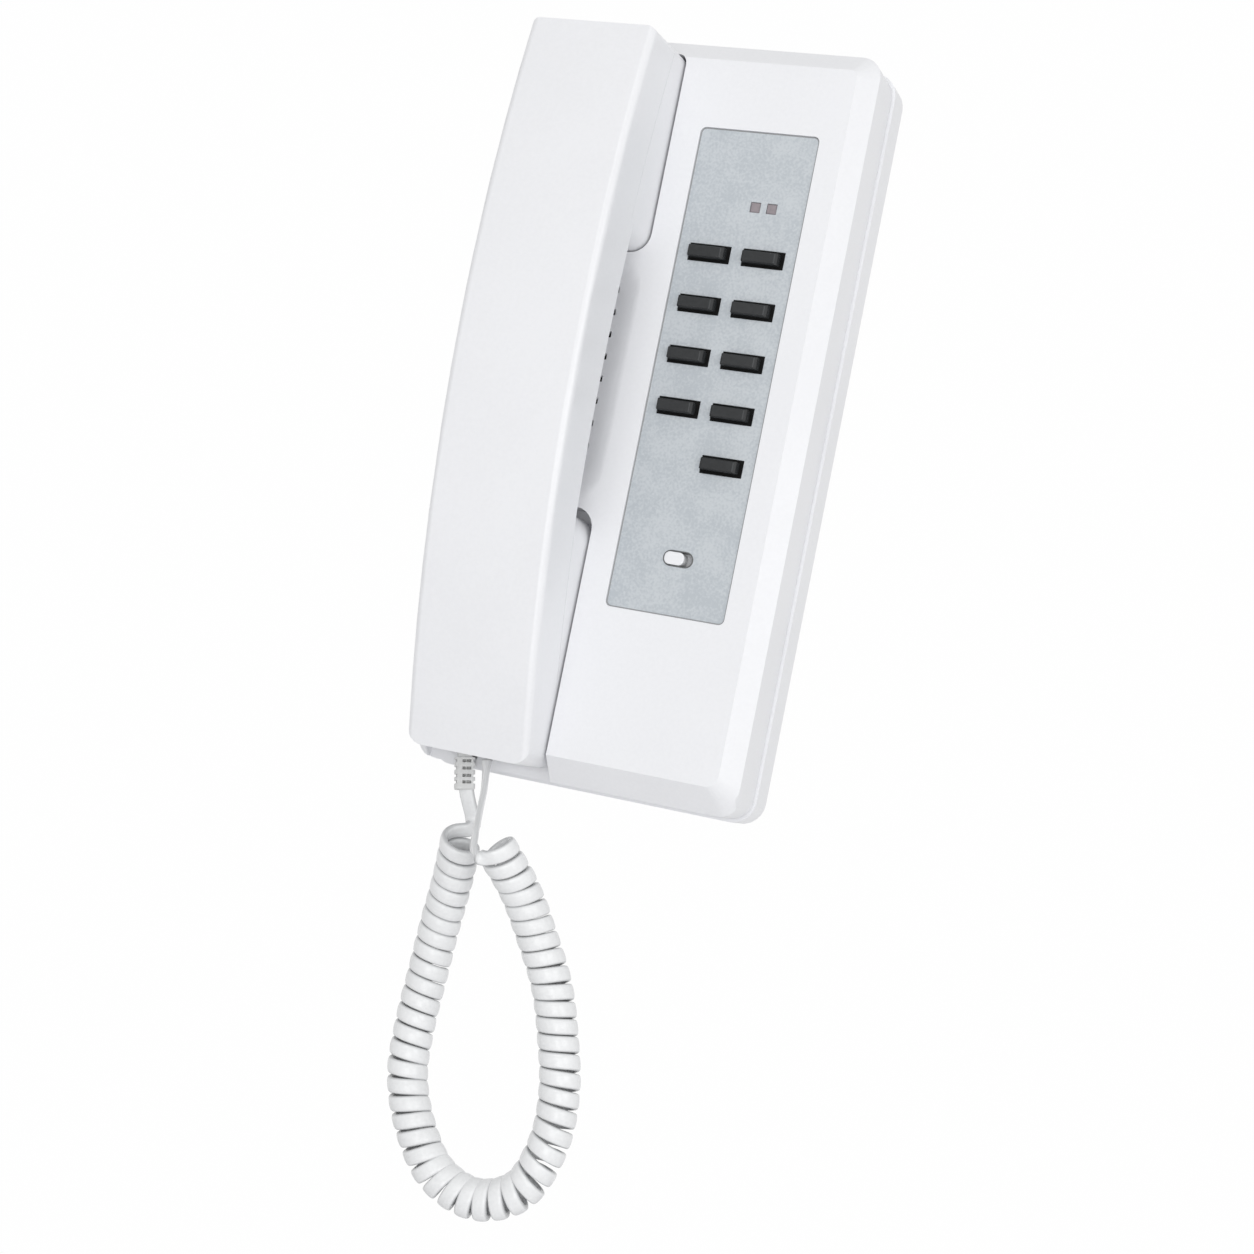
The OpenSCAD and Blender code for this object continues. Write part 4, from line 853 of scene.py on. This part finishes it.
def make_key_skirt():
    """Black foot of the first key: a collar in the opening, a flange and a stem behind it."""
    (x, z), (w, h) = KEY_AT[0], KEY_HALF
    wide, high, back = w + FLANGE, h + FLANGE, PAD_Y + FLANGE_THICK
    skirt = start_block("key_skirt_1", (x - wide, PAD_Y, z - high), (x + wide, back, z + high))
    choose(skirt, "FACE", frontmost(PAD_Y + 0.5))
    step((w + COLLAR[0]) / wide, (h + COLLAR[1]) / high, (x, PAD_Y, z),
         PANEL_Y + BEHIND_FACE - PAD_Y)
    choose(skirt, "FACE", rearmost(PAD_Y + 0.5))
    step(STEM_HALF / wide, STEM_HALF / high, (x, back, z), STEM_LENGTH)
    choose(skirt, "EDGE", lambda place, way: upright(place, way) and place.y > back + 0.1)
    bevel_edges(STEM_CORNER, 3)
    finish_piece(skirt, "button_1", "black_plastic", width=0.1, finish=SKIRT)
    return skirt


def make_keys():
    """Nine keys, modelled once."""
    cap, skirt = make_key_cap(), make_key_skirt()
    for k in range(1, 9):
        shift = (KEY_AT[k][0] - KEY_AT[0][0], 0, KEY_AT[k][1] - KEY_AT[0][1])
        number = str(k + 1)
        body = "button_" + number
        join_frame(moved_copy(cap, "key_cap_" + number, shift), body,
                   ("key_" + number,))
        join_frame(moved_copy(skirt, "key_skirt_" + number, shift), body, ())


def make_windows():
    """Two square lamp windows with a chamfer round the face and a collar behind the panel."""
    (x, z), half = WINDOW_AT, WINDOW_FLANGE_HALF
    flange_front, flange_back = WINDOW_FLANGE_Y
    window = start_block("lamp_window_pair", (x - half, flange_front, z - half),
                         (x + half, flange_back, z + half))
    choose(window, "FACE", frontmost(PAD_Y))
    share = WINDOW_HALF / half
    step(share, share, (x, PAD_Y, z), PANEL_Y + BEHIND_FACE - flange_front)
    choose(window, "FACE", frontmost(PANEL_Y + BEHIND_FACE * 2))
    inset(*WINDOW_CHAMFER)
    bpy.ops.object.mode_set(mode="OBJECT")
    pair = join_pieces([window, moved_copy(window, "second_window", (WINDOW_STEP, 0, 0))])
    finish_piece(pair, "base", "lamp_window", ("lamp_windows",), width=0.05)


def make_knob():
    """Sliding knob: an oval button with a domed top, a foot behind the panel and a lever."""
    (x, z), (w, h) = KNOB_AT, KNOB_FOOT_HALF
    back = PAD_Y + KNOB_FOOT_THICK
    knob = start_block("volume_knob_oval", (x - w, PAD_Y, z - h), (x + w, back, z + h))
    choose(knob, "FACE", rearmost(PAD_Y + 0.5))
    step(LEVER_HALF[0] / w, LEVER_HALF[1] / h, (x, back, z), LEVER_LENGTH)
    choose(knob, "FACE", frontmost(PAD_Y + 0.5))
    step(KNOB_HALF[0] / w, KNOB_HALF[1] / h, (x + KNOB_OFF_MIDDLE, PAD_Y, z),
         PANEL_Y - KNOB_RISE - PAD_Y)
    choose(knob, "EDGE", lambda place, way: upright(place, way) and place.y < PAD_Y - 0.5)
    bevel_edges(KNOB_CORNER, 8)
    choose(knob, "FACE", frontmost(PANEL_Y))
    for ring in KNOB_DOME:
        inset(*ring)
    finish_piece(knob, "volume", "white_plastic", ("volume_knob",), width=0.08, angle=50)


def make_ring(name, low, high, corner, wall, finish):
    """Thin frame that lines an opening, with round corners."""
    ring = start_block(name, low, high)
    choose(ring, "EDGE", upright)
    bevel_edges(corner, 8)
    choose(ring, "FACE", lambda place, normal: abs(normal.y) > SQUARE)
    inset(wall)
    bpy.ops.mesh.bridge_edge_loops()
    finish_piece(ring, "base", "black_plastic", width=0.02, segments=1, angle=60, finish=finish)


def make_shade_rings():
    """Grey rings of painted shade: one inside the volume slot, where only shade falls, and one round the
    panel for the shadow in its gap.
    """
    (x, z), (w, h) = SLOT_AT, SLOT_HALF
    # painted shade: grey ring inside the volume slot
    make_ring("slot_shade_liner", (x - w, PANEL_Y + 0.06, z - h), (x + w, PAD_Y - 0.4, z + h),
              SLOT_CORNER, SLOT_SHADE_WALL, SLOT_SHADE)
    # painted shadow: thin grey ring round the panel's edge, standing in for the shadow in its gap
    low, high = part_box("panel_plate")
    make_ring("panel_gap_shadow_line", (low[0] / MM, PANEL_Y - 0.03, low[2] / MM),
              (high[0] / MM, PANEL_Y + 0.1, high[2] / MM), PANEL_CORNER, GAP_SHADOW_WALL, EDGE)


# ---------------------------------------------------------------- strain relief and screws

BOOT_TOP = (-33.6, -24, -107)
BOOT_LEAN_DEG = -12
BOOT_TURN_DEG = 28
BOOT_HALF = (2.95, 2.2)
BOOT_LOW = -9.4
BOOT_CORNER = 1.1
BOOT_FOOT_ROUND = 0.5
BOOT_SHOULDER = 0.75
BOOT_RISE = 2.6
BOOT_ROWS = (-1.1, -3.2, -5.3, -7.2)
ROW_HALF = 0.42
POCKETS = ((-0.8, 0.1), (0.32, 1.7))
POCKET_DEPTH = 1.75
NOTCH_DEPTH = 0.75


def make_boot():
    """Slotted strain relief: a rounded block with pockets in its faces and notched sides."""
    w, d = BOOT_HALF
    boot = start_block("cord_boot_slotted", (-w, -d, BOOT_LOW), (w, d, 0))
    choose(boot, "EDGE", lambda place, way: abs(way.z) > SQUARE)
    bevel_edges(BOOT_CORNER, 3)
    choose(boot, "EDGE", lambda place, way: place.z < BOOT_LOW + 0.01)
    bevel_edges(BOOT_FOOT_ROUND, 3)
    for middle in BOOT_ROWS:
        for side in (-ROW_HALF, ROW_HALF):
            choose(boot, "FACE", everything)
            cut((0, 0, middle + side), (0, 0, 1))
    for pocket in POCKETS:
        for x in pocket:
            choose(boot, "FACE", lambda place, normal: abs(normal.y) > SQUARE)
            cut((x, 0, 0), (1, 0, 0))

    def in_row(place):
        return any(abs(place.z - middle) < 0.3 for middle in BOOT_ROWS)

    def in_pocket(place):
        return in_row(place) and any(low < place.x < high for low, high in POCKETS)

    for side in (-1, 1):
        choose(boot, "FACE", lambda place, normal: normal.y * side > SQUARE and in_pocket(place))
        push(0, -side * POCKET_DEPTH, 0)
        choose(boot, "FACE", lambda place, normal: place.x * side > w - 0.45 and in_row(place))
        push(-side * NOTCH_DEPTH, 0, 0)
    choose(boot, "FACE", lambda place, normal: normal.z > SQUARE and place.z > -0.1)
    bpy.ops.mesh.extrude_region_move()
    bpy.ops.transform.resize(value=(BOOT_SHOULDER, BOOT_SHOULDER, 1), center_override=(0, 0, 0))
    push(0, 0, BOOT_RISE)
    bpy.ops.object.mode_set(mode="OBJECT")
    boot.data.transform(Matrix.Translation(Vector(BOOT_TOP) * MM)
                        @ Matrix.Rotation(math.radians(BOOT_LEAN_DEG), 4, "Y")
                        @ Matrix.Rotation(math.radians(BOOT_TURN_DEG), 4, "Z"))
    finish_piece(boot, "base", "cord_white", ("cord_boot",), width=0.1, finish=BOOT)


HEAD_RADIUS = 2.85
HEAD_HEIGHT = 2.1
HEAD_ROUND = 0.5
HEAD_RINGS = (0.35, 0.45)
SHANK_RADIUS = 1.5
CROSS_HALF = 0.42
CROSS_DEPTH = 0.9


def make_screw(name, x, z, y_head, length):
    """Screw with a domed head and a cross recess that faces the wall."""
    top = y_head + HEAD_HEIGHT
    screw = start_disc(name, (x, y_head + HEAD_HEIGHT / 2, z), HEAD_RADIUS, HEAD_HEIGHT)
    choose(screw, "FACE", lambda place, normal: normal.y < -SQUARE)
    share = SHANK_RADIUS / HEAD_RADIUS
    step(share, share, (x, y_head, z), -(length - 0.2))
    choose(screw, "FACE", rearmost(top - 0.1))
    for ring in HEAD_RINGS:
        inset(ring)

    def in_middle(place, normal):
        return (rearmost(top - 0.1)(place, normal)
                and math.hypot(place.x - x, place.z - z) < HEAD_RADIUS - 0.85)

    for sign in (-1, 1):
        for way in ((1, 0, 0), (0, 0, 1)):
            choose(screw, "FACE", in_middle)
            cut((x + sign * CROSS_HALF, 0, z + sign * CROSS_HALF), way)
    choose(screw, "FACE", lambda place, normal: in_middle(place, normal)
           and min(abs(place.x - x), abs(place.z - z)) < 0.3)
    push(0, -CROSS_DEPTH, 0)
    choose(screw, "EDGE", lambda place, way: place.y > top - 0.01
           and math.hypot(place.x - x, place.z - z) > HEAD_RADIUS - 0.1)
    bevel_edges(HEAD_ROUND, 4)
    bpy.ops.object.mode_set(mode="OBJECT")
    return screw


def make_screw_set(name, body, place, y_head, length, shifts):
    """One screw and its copies, joined as one piece."""
    first = make_screw(name + "_set", *place, y_head, length)
    rest = [moved_copy(first, name, shift) for shift in shifts]
    finish_piece(join_pieces([first] + rest), body, "steel", (name + "s",), width=0.06)


def make_screws():
    """Four screws of the case and two of the handset, each kind modelled once."""
    make_screw_set("case_screw", "base", (-40, 98), -6.5, 10,
                   ((82, 0, 0), (0, 0, -196), (82, 0, -196)))
    make_screw_set("handset_screw", "handset", (-26.4, 32), -46.9, 8, ((0, 0, -46),))


make_cord()
dress_covers()
make_keys()
make_windows()
make_knob()
make_shade_rings()
make_boot()
make_screws()


# ---------------------------------------------------------------- finishes of the parts that stay

def finish_nodes():
    """Gives each node that stays its own material."""
    for part in frame["record"]["subparts"]:
        piece = frame["nodes"][part["node"]]
        material = FINISH[part["material_slot"]]
        for item in piece.material_slots:
            item.material = material
        if not piece.material_slots:
            piece.data.materials.append(material)


# ---------------------------------------------------------------- stage and light

FLOOR_AT = (0, -0.1, -0.62)
FLOOR_RADIUS = 1.1
SKY_COLOUR = (0.995, 0.995, 0.995, 1)
SKY_SEEN = 1.0
SKY_LIGHT = 0.62
# name, place, what it points at, size and power in watts
LAMPS = (
    ("key_lamp", (0.1, -1.3, 0.7), (0, 0, 0), 0.9, 2.8),
    ("side_lamp", (1.2, -0.8, 0.1), (0, 0, -0.05), 0.8, 3.4),
    ("fill_lamp", (0.46, -1.25, -0.34), (0, 0, -0.05), 0.8, 3.8),
)


def make_floor():
    """Plain pale floor well below the phone."""
    bpy.ops.mesh.primitive_circle_add(vertices=64, radius=FLOOR_RADIUS, fill_type="NGON",
                                      location=FLOOR_AT)
    floor = bpy.context.active_object
    floor.name = "pale_floor"
    material, tree, shader, place = start_material("pale_floor", roughness=0.9)
    paint(tree, shader, drift(tree, place, (0.86, 0.86, 0.87), (0.83, 0.83, 0.84),
                              scale=3.0, fleck_scale=60.0))
    floor.data.materials.append(material)


def add_lamp(name, place, aim, size, power):
    """Round area lamp that points at a place."""
    data = bpy.data.lights.new(name, "AREA")
    data.shape = "DISK"
    data.size = size
    data.energy = power
    lamp = bpy.data.objects.new(name, data)
    way = (Vector(aim) - Vector(place)).normalized()
    turn = way.to_track_quat("-Z", "Y").to_matrix().to_4x4()
    lamp.matrix_world = Matrix.Translation(place) @ turn
    bpy.context.scene.collection.objects.link(lamp)


def make_sky():
    """White to the camera and in reflections, a soft even light for everything else."""
    world = bpy.data.worlds.new("studio_sky")
    world.use_nodes = True
    tree = world.node_tree
    background = tree.nodes["Background"]
    background.inputs["Color"].default_value = SKY_COLOUR
    path = tree.nodes.new("ShaderNodeLightPath")
    seen = math_node(tree, "MAXIMUM", path.outputs["Is Camera Ray"],
                     math_node(tree, "MAXIMUM", path.outputs["Is Glossy Ray"],
                               path.outputs["Is Transmission Ray"]))
    strength = remap(tree, seen, 0.0, 1.0, SKY_LIGHT, SKY_SEEN)
    link(tree, strength, background.inputs["Strength"])
    bpy.context.scene.world = world


finish_nodes()
make_floor()
for lamp in LAMPS:
    add_lamp(*lamp)
make_sky()
bpy.context.scene.view_settings.view_transform = "Standard"
